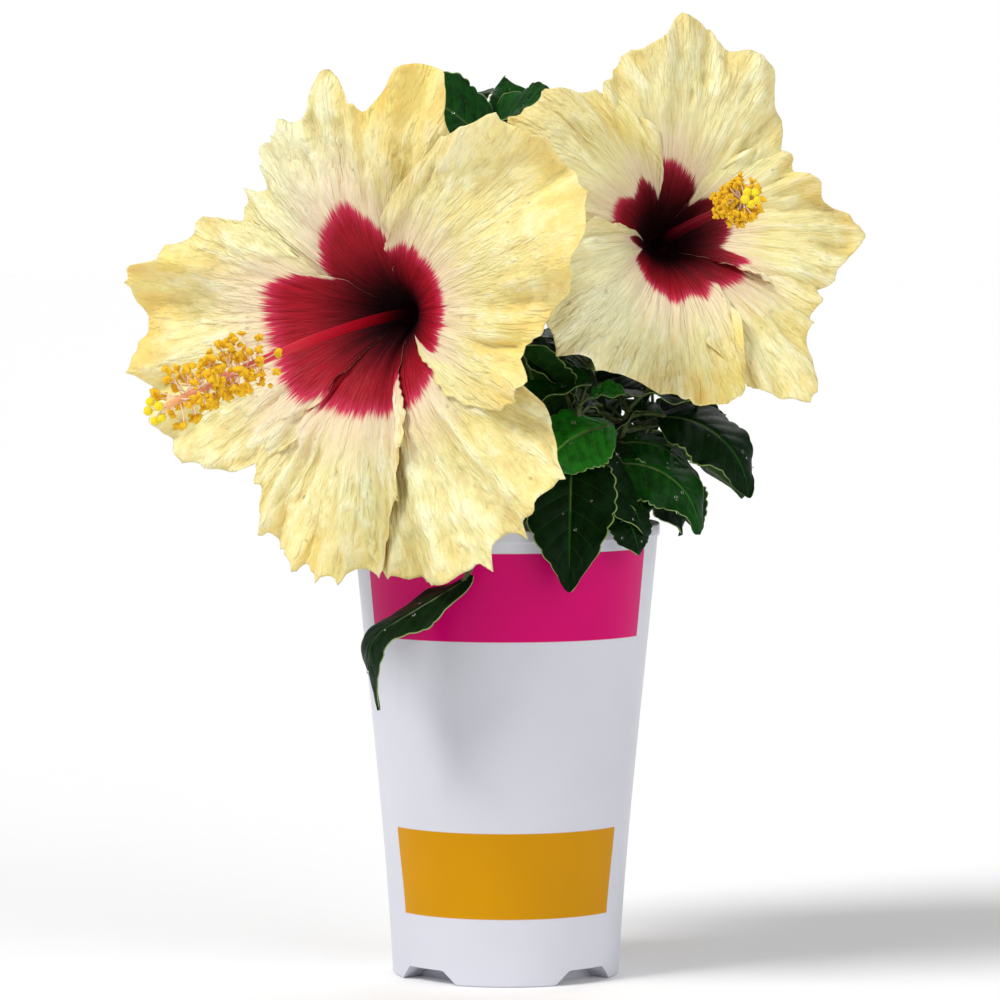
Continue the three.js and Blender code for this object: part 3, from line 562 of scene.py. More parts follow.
def pot_material():
    m = Nodes("pot_plastic", specular_ior_level=0.1)
    x, y, z = m.split(m.object_place())
    # the printed bands go round the front and, repeated, round the back; angle from the nearer of the two
    turn = m.math("DEGREES", m.math("ARCTAN2", m.math("ABSOLUTE", x), m.math("ABSOLUTE", y)))
    # the wall leans out evenly, and only its outer face is printed
    radius = m.math("SQRT", m.add(m.mul(x, x), m.mul(y, y)))
    outside = m.math("GREATER_THAN", radius, m.add(m.mul(z, WALL_LEAN), WALL_MIDDLE))
    colour = m.ramp(m.noise(18, 3), (0.35, srgb(206, 207, 216)), (0.65, srgb(211, 212, 221)))
    printed = 0.0
    for low, high, low_angle, high_angle, ink in POT_BANDS:
        up = m.step(z, low - BAND_EDGE, low + BAND_EDGE)
        down = m.fall(z, high - BAND_EDGE, high + BAND_EDGE)
        near = m.math("LESS_THAN", turn, m.step(z, low, high, low_angle, high_angle))
        mask = m.mul(m.mul(up, down), m.mul(near, outside))
        tint = m.mix(m.noise(30, 2), ink, tuple(c * 0.86 for c in ink[:3]) + (1,))
        colour = m.mix(mask, colour, tint)
        printed = m.math("MAXIMUM", printed, mask)
    fine = m.bump(m.noise(900, 2), 0.03, 0.0004)
    roughness = m.step(m.noise(55, 3), 0.3, 0.7, 0.3, 0.34)
    return m.done(colour, m.bump(printed, 0.25, 0.0001, fine), roughness)


def soil_material():
    m = Nodes("potting_mix", roughness=0.95)
    coarse = m.noise(220, 5, 0.65)
    fine = m.noise(900, 3, 0.6)
    stops = [(0.3, srgb(20, 13, 9)), (0.5, srgb(44, 30, 21)), (0.72, srgb(84, 62, 44))]
    return m.done(m.ramp(coarse, *stops), m.bump(fine, 0.6, 0.0006, m.bump(coarse, 0.8, 0.0015)))


def bark_material(name, dark, mid, pale):
    m = Nodes(name, roughness=0.8)
    streak = m.noise(1, 4, 0.6, stretch=(420.0, 420.0, 90.0))
    spots = m.noise(650)
    base = m.ramp(streak, (0.3, dark), (0.52, mid), (0.75, pale))
    colour = m.mix(m.step(spots, 0.62, 0.7), base, pale)
    return m.done(colour, m.bump(spots, 0.3, 0.0004, m.bump(streak, 0.7, 0.0008)))


def grained(name, kind, stops, relief=None, stretch=None, **values):
    """A colour that runs through stops with one noise. kind is the noise's scale, detail and roughness,
    relief the strength and the height of its bumps."""
    m = Nodes(name, **values)
    grain = m.noise(*kind, stretch=stretch)
    return m.done(m.ramp(grain, *stops), m.bump(grain, *relief) if relief else None)


def leaf_material(name, dark, mid, vein, roughness, shine):
    """blade holds where a point lies, across from -1 to 1 and along from 0 to 1, and the leaf's tone."""
    m = Nodes(name, specular_ior_level=shine)
    spot = m.attr("blade", vector=True)
    across, along, _ = m.split(spot)
    off = m.math("ABSOLUTE", across)
    mottle = m.noise(1.4, 4, 0.6, spot, (3.0, 7.0, 1.0))
    fine = m.noise(1.6, 3, 0.6, spot, (16.0, 44.0, 1.0))
    body = m.mix(m.step(mottle, 0.3, 0.7), dark, mid)
    # side veins run from the midrib outward and forward
    wave = m.math("PINGPONG", m.sub(m.mul(along, VEINS), m.mul(off, VEIN_SLANT)), 0.5)
    side = m.mul(m.fall(wave, 0.0, 0.06), m.step(off, 0.5, 0.95, 1.0, 0.15))
    net = m.fall(m.lines(fine), 0.0, 0.03, 0.16)
    rib = m.fall(off, 0.02, 0.06)
    lines = m.math("MAXIMUM", rib, m.math("MAXIMUM", m.mul(side, 0.4), net))
    colour = m.mix(m.mul(lines, 0.8), body, vein)
    colour = m.mix(m.step(off, 0.962, 0.985, 0.0, 0.75), colour, srgb(150, 178, 104))
    normal = m.bump(m.sub(m.mul(fine, 0.5), m.mul(lines, 0.6)), 0.5, 0.0005)
    return m.done(colour, normal, m.step(mottle, 0.25, 0.75, roughness, roughness + 0.14))


def petal_material(name, deep_low, deep_high, red_share=1.0):
    """eye is the distance from the axis in eye radii, place the angle and the radius in tens, rim 1 at the
    margin, warm the deeper yellow places, and below zero painted light that makes places in
    shade paler, crease how far a point lies in a hollow, painted as shade in the hollows and
    as highlight on the crests. deep_low and deep_high bound the near-black throat, the eye's deep red
    darkened further as painted shade deep in the funnel, in centimetres. red_share is how strongly the eye
    shows."""
    m = Nodes(name, specular_ior_level=0.2, subsurface_weight=0.12, subsurface_scale=0.003)
    spot = m.attr("place", vector=True)
    eye, rim, warm, crease = (m.attr(key) for key in ("eye", "rim", "warm", "crease"))
    radius = m.split(spot)[1]
    thread = m.noise(1, 3, 0.6, spot, (7.0, 0.35, 5.0))
    hair = m.noise(1, 2, 0.5, spot, (15.0, 0.8, 5.0))
    pleat = m.noise(1, 3, 0.55, spot, (2.2, 0.3, 5.0))
    cloud = m.noise(1, 3, 0.6, spot, (0.45, 0.4, 5.0))
    # zero on the creases: long ones that run outward, short ones across them farther out
    long = m.lines(m.noise(1, 3, 0.5, spot, (3.0, 0.4, 5.0)))
    short = m.lines(m.noise(1, 3, 0.5, spot, (4.4, 0.95, 5.0)))
    outer = m.step(radius, 3.0, 6.0)

    skin = m.mix(m.step(cloud, 0.32, 0.68), srgb(247, 238, 186), srgb(239, 226, 160))
    for share, tint in (
        (m.step(pleat, 0.42, 0.72, 0.0, 0.28), srgb(220, 201, 118)),
        (m.step(thread, 0.5, 0.8, 0.0, 0.4), srgb(253, 247, 208)),
        # painted shade: a darker yellow along the long and the short crease lines
        (m.fall(long, 0.0, 0.03, 0.36), srgb(222, 200, 116)),
        (m.mul(m.fall(short, 0.0, 0.025, 0.34), outer), srgb(216, 200, 122)),
        # painted shade in the hollows of the petal's relief, and painted highlight on its crests
        (m.step(crease, 0.0, 0.9, 0.0, 0.45), srgb(208, 190, 124)),
        (m.fall(crease, -0.9, -0.1, 0.5), srgb(254, 251, 220)),
        # painted light: paler cream where the places fall below zero, on petals that lie in shade
        (m.fall(warm, -1.0, 0.0, 0.6), srgb(254, 249, 214)),
    ):
        skin = m.mix(share, skin, tint)
    gold_share = m.add(m.mul(m.step(rim, 0.74, 1.0), 0.34), m.mul(warm, 0.75), clamp=True)
    gold_share = m.mul(gold_share, m.step(cloud, 0.25, 0.75, 0.6, 1.0))
    gold = m.mix(m.step(pleat, 0.35, 0.7), srgb(250, 224, 124), srgb(242, 200, 96))
    skin = m.mix(gold_share, skin, gold)
    halo = m.fall(m.add(eye, m.swing(pleat, 0.5)), 0.95, 1.75, 0.72)
    skin = m.mix(halo, skin, srgb(240, 212, 186))

    # the eye ends in fine feathers along the veins
    front = m.add(eye, m.add(m.swing(thread, 0.2), m.swing(hair, 0.22)))
    inside = m.fall(front, 0.94, 1.04)
    red = m.mix(m.step(hair, 0.35, 0.7), srgb(174, 9, 34), srgb(138, 3, 24))
    red = m.mix(m.step(thread, 0.45, 0.75, 0.0, 0.45), red, srgb(186, 22, 46))
    red = m.mix(m.step(front, 0.8, 1.0), red, srgb(206, 44, 84))
    # the near-black throat: the eye's own deep red, darkened further as painted shade deep in the funnel
    depth = m.add(radius, m.swing(pleat, 0.9))
    red = m.mix(m.fall(depth, deep_low, deep_high), red, srgb(34, 0, 6))
    colour = m.mix(m.mul(inside, red_share), skin, red)
    ridges = m.add(m.mul(pleat, 0.8), m.add(m.mul(thread, 0.4), m.mul(hair, 0.15)))
    ridges = m.add(ridges, m.step(long, 0.0, 0.12, 0.0, 0.3))
    ridges = m.add(ridges, m.mul(m.step(short, 0.0, 0.14, 0.0, 0.4), outer))
    return m.done(colour, m.bump(ridges, 0.6, 0.0022), m.step(thread, 0.3, 0.7, 0.42, 0.6))


# near-black foot of the petals at the bottom of the throat: its own deep red, darkened further as painted
# shade
def shaded_throat_material():
    m = Nodes("throat", roughness=0.8, specular_ior_level=0.03)
    return m.done(m.mix(m.noise(300, 2), srgb(14, 0, 3), srgb(26, 0, 6)))


def column_material(name, *stops):
    """share runs along the column, from the throat to the tip."""
    m = Nodes(name, roughness=0.4, specular_ior_level=0.2, subsurface_weight=0.08, subsurface_scale=0.002)
    grain = m.noise(500, 3, 0.6)
    tone = m.add(m.attr("share"), m.swing(grain, 0.12))
    return m.done(m.ramp(tone, *stops), m.bump(grain, 0.25, 0.0004))


def pollen_material(name, dark, pale, scale):
    return grained(name, (scale, 3, 0.7), [(0.32, dark), (0.62, pale)], (0.8, 0.0005),
                   roughness=0.85, specular_ior_level=0.1)


def water_material():
    m = Nodes("water", roughness=0.02, transmission_weight=1.0, ior=1.33)
    return m.done(m.mix(m.step(m.noise(200, 1), 0.2, 0.8), (0.96, 0.98, 1, 1), (1, 1, 1, 1)))


POT_SKIN = pot_material()
SOIL = soil_material()
BARK = bark_material("trunk_bark", srgb(52, 42, 30), srgb(98, 82, 60), srgb(146, 130, 102))
YOUNG_BARK = bark_material("bough_bark", srgb(52, 50, 28), srgb(92, 88, 52), srgb(136, 126, 86))
STEM = grained("green_stem", (1, 3, 0.5),
               [(0.3, srgb(44, 62, 26)), (0.55, srgb(78, 96, 44)), (0.8, srgb(112, 108, 62))],
               (0.35, 0.0004), stretch=(500.0, 500.0, 120.0), roughness=0.5, specular_ior_level=0.5)
# leaf tones: dark, mid and young tops, and undersides; the dark tone's near-black green is the leaves' own
# dark green, darkened further as painted shade within the dense foliage
LEAF_TONES = [
    leaf_material("leaf_dark_and_shaded", srgb(2, 20, 3), srgb(5, 38, 6), srgb(40, 84, 28), 0.28, 0.07),
    leaf_material("leaf_mid", srgb(6, 46, 7), srgb(12, 74, 12), srgb(60, 114, 38), 0.26, 0.1),
    leaf_material("leaf_young", srgb(12, 88, 12), srgb(30, 130, 26), srgb(112, 180, 72), 0.24, 0.18),
    leaf_material("leaf_underside", srgb(18, 52, 14), srgb(30, 72, 22), srgb(84, 120, 54), 0.5, 0.1),
]
UNDERSIDE = 3
SHADED_THROAT = shaded_throat_material()
# the darkest stops near the throat are the column's own deep red, darkened further as painted shade inside
# the throat
COLUMNS = {
    "left": column_material(
        "column_red", (0.08, srgb(60, 0, 8)), (0.24, srgb(150, 4, 26)), (0.45, srgb(188, 14, 44)),
        (0.64, srgb(214, 50, 76)), (0.8, srgb(238, 150, 126)), (1.0, srgb(246, 186, 130))),
    "right": column_material(
        "column_maroon", (0.08, srgb(30, 0, 6)), (0.4, srgb(86, 0, 20)), (0.68, srgb(128, 8, 36)),
        (0.8, srgb(206, 90, 84)), (0.95, srgb(244, 190, 120))),
}
POLLEN = pollen_material("pollen", srgb(252, 168, 4), srgb(255, 220, 62), 2600)
STIGMA = pollen_material("stigma", srgb(255, 214, 24), srgb(255, 240, 70), 2400)
FILAMENT = grained("filament", (300, 2), [(0.3, srgb(244, 206, 170)), (0.7, srgb(250, 232, 206))],
                   roughness=0.5, subsurface_weight=0.1, subsurface_scale=0.001)
CALYX = grained("calyx_green", (260, 4, 0.6),
                [(0.3, srgb(70, 104, 40)), (0.6, srgb(110, 140, 62)), (0.8, srgb(140, 160, 84))],
                (0.4, 0.0006), roughness=0.55, sheen_weight=0.2)
WATER = water_material()

# pot and potting mix


def outer_radius(z):
    heights, radii = zip(*POT_OUTER)
    return np.polyval(np.polyfit(heights, radii, 3), z)


def arc(centre, radius, start, end, count):
    turn = np.linspace(start, end, count) * RAD
    return [(centre[0] + radius * math.cos(t), centre[1] + radius * math.sin(t)) for t in turn]


def notch_cutter():
    """One block through each of the notches in the foot, which let water out."""
    half = [(NOTCH_HALF_BOTTOM + 0.6, -0.3), (NOTCH_HALF_TOP + 1.2, NOTCH_HEIGHT - 1.6),
            (NOTCH_HALF_TOP, NOTCH_HEIGHT - 0.4), (NOTCH_HALF_TOP - 1.4, NOTCH_HEIGHT)]
    corners = half + [(-x, z) for x, z in reversed(half)]
    far, near = POT_OUTER[0][1] + 6, POT_OUTER[0][1] - NOTCH_DEPTH
    count = len(corners)
    i = np.arange(count)
    i1 = (i + 1) % count
    sides = np.stack([i1, i, count + i, count + i1], -1)
    bag = Bag()
    for k in range(NOTCHES):
        across = heading(45 + 360 / NOTCHES * k)
        out = np.cross((0, 0, 1), across)
        verts = [across * x + out * y + (0, 0, z) for y in (near, far) for x, z in corners]
        bag.add(verts, ([i], 0), ([count + i[::-1]], 0), (sides, 0))
    return add_object("notches", bag.mesh("notches"))


def make_pot():
    bag = Bag()
    lip_low, top = POT_HEIGHT - POT_LIP_HEIGHT, POT_HEIGHT
    inner_lip = POT_LIP_RADIUS - POT_WALL - 0.4
    outline = [(0, 0), (30, 0), (41, 0)]
    outline += arc((outer_radius(0) - 1, 1), 1, -90, 0, 6)
    outline += [(outer_radius(z), z) for z in np.linspace(3, lip_low - 1.2, 34)]
    outline += arc((POT_LIP_RADIUS - 0.5, lip_low + 0.3), 0.5, -70, 0, 5)
    outline += [(POT_LIP_RADIUS, lip_low + 1.6), (POT_LIP_RADIUS, top - 1.4)]
    outline += arc((POT_LIP_RADIUS - 0.8, top - 0.8), 0.8, 0, 90, 6)
    outline += arc((inner_lip + 0.7, top - 0.7), 0.7, 90, 180, 5)
    outline += [(outer_radius(z) - POT_WALL, z) for z in np.linspace(lip_low - 2, POT_FLOOR + 3, 14)]
    outline += arc((outer_radius(POT_FLOOR) - POT_WALL - 2, POT_FLOOR + 2), 2, 0, -90, 5)
    outline += [(20, POT_FLOOR), (0, POT_FLOOR)]
    lathe(bag, outline, 192)
    pot = bag.build("pot_shell", [POT_SKIN], "pot", ["pot"])
    cutter = notch_cutter()
    cut = pot.modifiers.new("notches", "BOOLEAN")
    cut.operation, cut.object, cut.solver = "DIFFERENCE", cutter, "EXACT"
    bpy.context.view_layer.update()
    done = bpy.data.meshes.new_from_object(pot.evaluated_get(bpy.context.evaluated_depsgraph_get()))
    pot.modifiers.clear()
    pot.data = done
    bpy.data.objects.remove(cutter)
    done.set_sharp_from_angle(angle=35 * RAD)


def soil_height(x, y):
    reach = np.hypot(x, y)
    slope = np.interp(reach, [0, 14, 26, 40, 53], [0, 0, 0.4, 1, 2])
    clods = 0.9 * fractal(x / 7 + 30, y / 7 + 30, 301, 4) * soft((reach - 8) / 8)
    return SOIL_TOP - slope - 0.5 + clods


def make_soil():
    bag = Bag()

    def wall(z):
        return outer_radius(z) - POT_WALL - CLEARANCE - 0.1

    floor = POT_FLOOR + CLEARANCE
    outline = [(0, floor)] + [(wall(z), z) for z in np.linspace(floor, SOIL_TOP - 2, 12)]
    outline += [(r, SOIL_TOP) for r in np.linspace(wall(SOIL_TOP) - 0.3, 0.6, 62)] + [(0, SOIL_TOP)]

    def shape(p):
        top = p[:, 2] > SOIL_TOP - 1
        p[top, 2] = soil_height(p[top, 0], p[top, 1])
        return p

    lathe(bag, outline, 150, shift=shape)
    bag.build("potting_mix_body", [SOIL], "potting_mix", ["potting_mix"])
    crumbs = Bag()
    rng = np.random.RandomState(41)
    for _ in range(420):
        reach, turn = 52 * math.sqrt(rng.rand()), 2 * math.pi * rng.rand()
        if reach < 11:
            continue
        x, y, size = reach * math.cos(turn), reach * math.sin(turn), 0.5 + 1.3 * rng.rand() ** 2
        lump(crumbs, (x, y, soil_height(x, y) + 0.2 * size), (size * 1.4, size, size * 0.6), rng, 2, 0.1)
    crumbs.build("potting_mix_crumbs", [SOIL], "potting_mix")


# trunk and boughs

trunk_path = bowed(TRUNK["start"], TRUNK["to"], TRUNK["bow"])
limb_paths = {"trunk": trunk_path}
limb_paths |= {name: bowed(trunk_path(bough.share), bough.to, bough.bow) for name, bough in BOUGHS.items()}
limb_tips = {"trunk": TRUNK["tip"]} | {name: bough.tip for name, bough in BOUGHS.items()}


def trunk_radius(t):
    height = t * (TRUNK["to"][2] - TRUNK["start"][2])
    flare = ROOT_FLARE * np.maximum(0, 1 - height / ROOT_FLARE_HEIGHT) ** 2
    return TRUNK["base"] + (TRUNK["tip"] - TRUNK["base"]) * t + flare - 0.2


def bough_radius(bough):
    return lambda t: bough.base + (bough.tip - bough.base) * t - 0.1 + 0.9 * np.maximum(0, 1 - t / 0.12) ** 2


def bark_relief(seed, depth, length):
    def relief(t, turn):
        around = 8 * turn / (2 * np.pi)
        cracks = noise(around * 2, t * length / 7, seed) + 0.6 * noise(around * 4, t * length / 3, seed + 1)
        scars = np.maximum(0, noise(t * length / 9 + 5, around * 0.25, seed + 2) - 0.35)
        return depth * cracks + 0.8 * depth * scars

    return relief


def make_limbs():
    trunk = Bag()
    tube(trunk, trunk_path, trunk_radius, 200, 48, relief=bark_relief(11, 0.3, 79))
    verts = trunk.verts[0]
    verts[:, 2] = np.maximum(verts[:, 2], SOIL_TOP - 1.5)
    trunk.build("trunk_bark", [BARK], "bark", ["trunk"])
    boughs = Bag()
    for k, (name, bough) in enumerate(BOUGHS.items()):
        tube(boughs, limb_paths[name], bough_radius(bough), 70, 24, relief=bark_relief(21 + 3 * k, 0.16, 40))
    boughs.build("boughs_bark", [YOUNG_BARK], "young_bark", list(BOUGHS))


# blooms


def bloom_frame(bloom):
    yaw, pitch = bloom["yaw"] * RAD, bloom["pitch"] * RAD
    out = np.array([math.sin(yaw) * math.cos(pitch), -math.cos(yaw) * math.cos(pitch), math.sin(pitch)])
    right = np.array([math.cos(yaw), math.sin(yaw), 0])
    return np.stack([right, np.cross(out, right), out]), np.array(bloom["throat"], float)


def to_world(bloom, p):
    basis, origin = bloom_frame(bloom)
    return np.asarray(p) @ basis + origin


def funnel(bloom, radius):
    """How far forward the petals stand at a radius, before their own lift and relief."""
    rise = bloom["depth"] + bloom["rim"]
    return -bloom["depth"] + rise * (1 - np.exp(-(radius - THROAT_RADIUS) / bloom["opening"]))


def eye_radius(bloom, degrees):
    angles, radii = zip(*bloom["eye"])
    return np.interp(degrees, angles, radii, period=360)


def petal_surface(bloom, index, a, b):
    """The petal's points in the bloom's frame, their angle and radius, and the fine relief that they hold.
    a is from 0 to 1 across the petal, b from 0 to 1 along it."""
    p = bloom["petals"][index]
    seed = 500 + 40 * index + (0 if bloom is BLOOMS["left"] else 400)
    u = 2 * a - 1
    edge = soft((np.abs(u) - 0.6) / 0.4)
    side = np.where(u < 0, p.low, p.high)
    wobble = (1.8 + 1.2 * bloom["ragged"]) * edge * fractal(b * 7, np.sign(u) * 3 + 9, seed + 1)
    turn = p.mid + p.half * u * (0.94 + 0.06 * soft(b / 0.3)) + wobble * soft(b / 0.3)
    teeth = 1 - np.abs(noise(a * 12, 3.5, seed + 5))
    fine_teeth = 1 - np.abs(noise(a * 31, 6.5, seed + 6))
    rag = 0.018 * fractal(a * 8, 0.5, seed + 3) + 0.08 * (teeth**4 - 0.42) + 0.028 * (fine_teeth**3 - 0.45)
    reach = between(p.reach, a) * (1 + bloom["ragged"] * rag * soft((b - 0.5) / 0.5))
    radius = THROAT_RADIUS + (reach - THROAT_RADIUS) * b
    lift = side * soft(np.abs(u)) * soft(radius / 36)
    wave = np.sin(2 * np.pi * (p.waves * a + p.phase))
    small = np.sin(2 * np.pi * (p.waves * 2.3 * a + p.phase * 3))
    calm = 1 - 0.8 * soft((np.abs(u) - 0.4) / 0.45)
    rim = b**2.6 * soft(radius / 60) * calm
    height = funnel(bloom, radius) + lift + p.curl * b**4 + p.ruffle * rim * (wave + 0.55 * small)
    for which, start, end, rise in bloom["flaps"]:
        if which == index:
            flap = rise * soft((a - start) / 0.07) * soft((end - a) / 0.05)
            height = height + flap * soft((b - 0.5) / 0.45)
    folds = FOLD_HEIGHT * fractal(turn / 11, radius / 28, seed + 7) * soft((b - 0.2) / 0.5)
    pleats = PLEAT_HEIGHT * (0.5 - np.abs(noise(turn / 4.6, radius / 32, seed + 11))) * soft((b - 0.15) / 0.4)
    crepe = CREPE_HEIGHT * (0.5 - np.abs(fractal(turn / 3.4, radius / 8, seed + 13))) * soft((b - 0.3) / 0.4)
    frill = FRILL_HEIGHT * soft((b - 0.6) / 0.4) ** 1.5 * fractal(a * 10, b * 2.2, seed + 17)
    detail = bloom["crinkled"] * (folds + pleats + crepe + frill)
    under = detail * (1 - 0.85 * edge)
    above = detail * (1 - 0.5 * edge) + edge * np.abs(detail) * 0.7
    above = above + 1.1 * edge**2 * np.abs(noise(b * 11, 7.5, seed + 19)) * soft((b - 0.2) / 0.3)
    relief = np.where(side > 0, above, under)
    points = np.stack([radius * np.cos(turn * RAD), radius * np.sin(turn * RAD), height + relief], -1)
    return points, turn, radius, relief


def hollows(relief, reach):
    """How far each point of a relief lies under its neighbours' mean, from -1 to 1."""
    wide = np.pad(relief, reach, mode="edge")
    rows, cols = relief.shape
    total = np.zeros_like(relief)
    for j in range(2 * reach + 1):
        total += wide[j:j + rows, reach:reach + cols] + wide[reach:reach + rows, j:j + cols]
    return np.clip((total / (4 * reach + 2) - relief) / 0.55, -1, 1)


def cell_of(k, a, b):
    """A point's place in the k-th of the twelve cells of the blades' map."""
    return (np.stack([0.02 + 0.96 * a, 0.02 + 0.96 * b], -1) + (k % 4, k // 4)) / (4, 3)


def make_petals(side, bloom):
    bag = Bag()
    for index in range(len(bloom["petals"])):
        a, b = np.meshgrid(np.linspace(0, 1, PETAL_ACROSS + 1), np.linspace(0, 1, PETAL_ALONG + 1) ** 0.9)
        local, turn, radius, relief = petal_surface(bloom, index, a, b)
        u = 2 * a - 1
        dip = np.where(u < 0, *(bloom["notches"].get((index, edge), 0.12) for edge in ("low", "high")))
        eye = radius / (eye_radius(bloom, turn) * (1 - dip * soft((np.abs(u) - 0.74) / 0.26)))
        # deeper yellow where above zero, painted light where below zero
        warm = np.zeros_like(a)
        for which, at, along, spread, strength in bloom["warm"]:
            if which == index:
                warm += strength * np.exp(-(((a - at) ** 2 + 0.5 * (b - along) ** 2) / spread**2))
        front, back = (cell_of(k, a, b) for k in (index, index + 5))
        here = np.stack([turn / 10, radius / 10, np.full_like(a, 3.1 * index)], -1)
        # the hollows and crests of the relief carry painted shade and painted highlight into the petal's
        # colour
        sheet(bag, to_world(bloom, local), PETAL_THICKNESS, mats=(1, 0), uv=(back, front), eye=eye,
              rim=b * soft(radius / 50), warm=warm, crease=hollows(relief, 4), place=here)
    low = -bloom["depth"]
    foot = [(0, low - 3.4), (THROAT_RADIUS + 0.2, low - 3.4), (THROAT_RADIUS + 1.4, low + 1.6),
            (THROAT_RADIUS, low + 2.2), (0, low + 1)]
    lathe(bag, foot, 32, mat=2, shift=lambda v: to_world(bloom, v))
    bag.uvs[-1] = cell_of(10, *(0.5 + (bag.verts[-1] - bloom["throat"])[:, :2].T / 20))
    blade = petal_material(f"{side}_petal", *bloom["dark_shaded_throat"])
    back_of_blade = petal_material(f"{side}_petal_back", -1.0, 0.4, 0.32)
    materials = [blade, back_of_blade, SHADED_THROAT]
    bag.build(f"{side}_bloom_petal_blades", materials, "petal", [f"{side}_bloom_petals"], uv=True)


def column_path(bloom):
    c = bloom["column"]
    start = -bloom["depth"] + 1.7 + CLEARANCE

    def path(t):
        t = np.maximum(0, np.asarray(t, float))
        return np.stack([c["aside"][0] * t ** c["bend_aside"], c["aside"][1] * t ** c["bend_up"],
                         start + (c["reach"] - start) * t], -1)

    return path


def make_column(side, bloom):
    c = bloom["column"]
    local = column_path(bloom)

    def path(t):
        return to_world(bloom, local(t))

    basis, _ = bloom_frame(bloom)
    body, threads, pollen, pads = Bag(), Bag(), Bag(), Bag()
    tube(body, path, lambda t: COLUMN_RADIUS - 0.9 * t, 90, 20,
         relief=lambda t, turn: 0.08 * np.cos(5 * turn) + 0.05 * noise(t * 40, turn, 3), share=lambda t: t)
    rng = np.random.RandomState(c["seed"])
    count = bloom["anthers"]
    for k in range(count):
        t = c["anthers_from"] + (0.97 - c["anthers_from"]) * ((k + 0.5) / count)
        aside = heading(SPIRAL * k + 30 * dice(c["seed"], 3 * k))
        long = c["spread"] * (0.6 + 0.62 * dice(c["seed"], k))
        out = unit(aside + (0, 0, 0.45 + 0.4 * (dice(c["seed"], 2 * k + 1) - 0.5))) @ basis
        root = path(t - 0.02)
        tip = root + out * long
        sag = (rng.rand(3) - 0.5) * 1.6
        tube(threads, bowed(root, tip, sag), lambda s: 0.3 - 0.06 * s, 5, 5)
        size = (1.1 + 0.6 * rng.rand()) * bloom["grain"]
        lump(pollen, tip, (size * 1.3, size * 0.8, size * 0.7), rng, 2, 0.2)
        for _ in range(rng.randint(2, 5)):
            at = tip + rng.normal(size=3) * 0.95 * bloom["grain"]
            lump(pollen, at, size * (0.5 + 0.4 * rng.rand(3)), rng, 1, 0.25)
    end = path(1.0)
    ahead = unit(path(1.0) - path(0.95))
    across = unit(np.cross([1, 0, 0], ahead))
    other = np.cross(ahead, across)
    for k in range(STIGMA_PADS):
        turn = (360 / STIGMA_PADS * k) * RAD
        tip = end + ahead * 4 + bloom["pads"] * (across * math.cos(turn) + other * math.sin(turn))
        tube(threads, bowed(path(0.985), tip, ahead * 0.5), lambda s: 0.55 + 0.1 * s, 8, 8)
        lump(pads, tip, (1.7, 1.7, 1.4), rng, 3, 0.05)
    node = [f"{side}_bloom_column"]
    body.build(f"{side}_bloom_column_tube", [COLUMNS[side]], "column", node)
    threads.build(f"{side}_bloom_filaments", [FILAMENT], "column")
    pollen.build(f"{side}_bloom_anthers", [POLLEN], "column")
    pads.build(f"{side}_bloom_stigma_pads", [STIGMA], "column")


def stalk_path(bloom, sunk=0.0):
    """From the bough to the foot of the calyx, or to sunk below it."""
    bough, bow = bloom["stalk"]
    top = to_world(bloom, np.array([0, 0, -bloom["depth"] - CALYX_DROP - sunk]))
    return bowed(limb_paths[bough](0.97), top, bow)


def make_calyx(side, bloom):
    bag = Bag()
    low = -bloom["depth"] - CALYX_DROP
    share = np.linspace(0, 1, 26)

    def cup(offset):
        inside = THROAT_RADIUS + (CALYX_RADIUS - THROAT_RADIUS) * soft(share) + offset
        return [(r + s * 1.6, low + s * CALYX_LENGTH) for r, s in zip(inside, share)]

    outline = [(0, low - 1), (2.4, low - 0.8)] + cup(1.6)
    outline += [q for q in cup(0.6)[::-1] if q[1] > low + 4.4]
    outline += [(THROAT_RADIUS + 1, low + 4.2), (0, low + 4.2)]

    def lobes(v):
        part = soft((v[:, 2] - low - 0.55 * CALYX_LENGTH) / (0.45 * CALYX_LENGTH))
        turn = np.arctan2(v[:, 1], v[:, 0])
        notch = 0.5 + 0.5 * np.cos(5 * turn)
        v[:, 2] -= part * SEPAL_LENGTH * notch**1.5
        rib = 1 + 0.02 * np.cos(25 * turn) * soft((v[:, 2] - low) / 4)
        v[:, :2] *= rib[:, None]
        return to_world(bloom, v)

    lathe(bag, outline, 120, shift=lobes)
    for k in range(BRACTS):
        out = heading((k + 0.5) * 360 / BRACTS)
        bract = bowed(2.4 * out + (0, 0, low - 0.2), 13 * out + (0, 0, low + 9), 2.5 * out - (0, 0, 2.4))
        tube(bag, lambda t: to_world(bloom, bract(t)), lambda t: 1.0 - 0.75 * t**1.5, 16, 8)

    def stalk_radius(t):
        return STALK_RADIUS + 0.5 * t + 0.9 * soft((t - 0.93) / 0.07)

    tube(bag, stalk_path(bloom, 0.2), stalk_radius, 60, 16, relief=uneven(0.07, 30, 2, 77))
    bag.build(f"{side}_bloom_calyx_cup", [CALYX], "calyx", [f"{side}_bloom_calyx"])


# leaves

CROOK_STEPS = 64


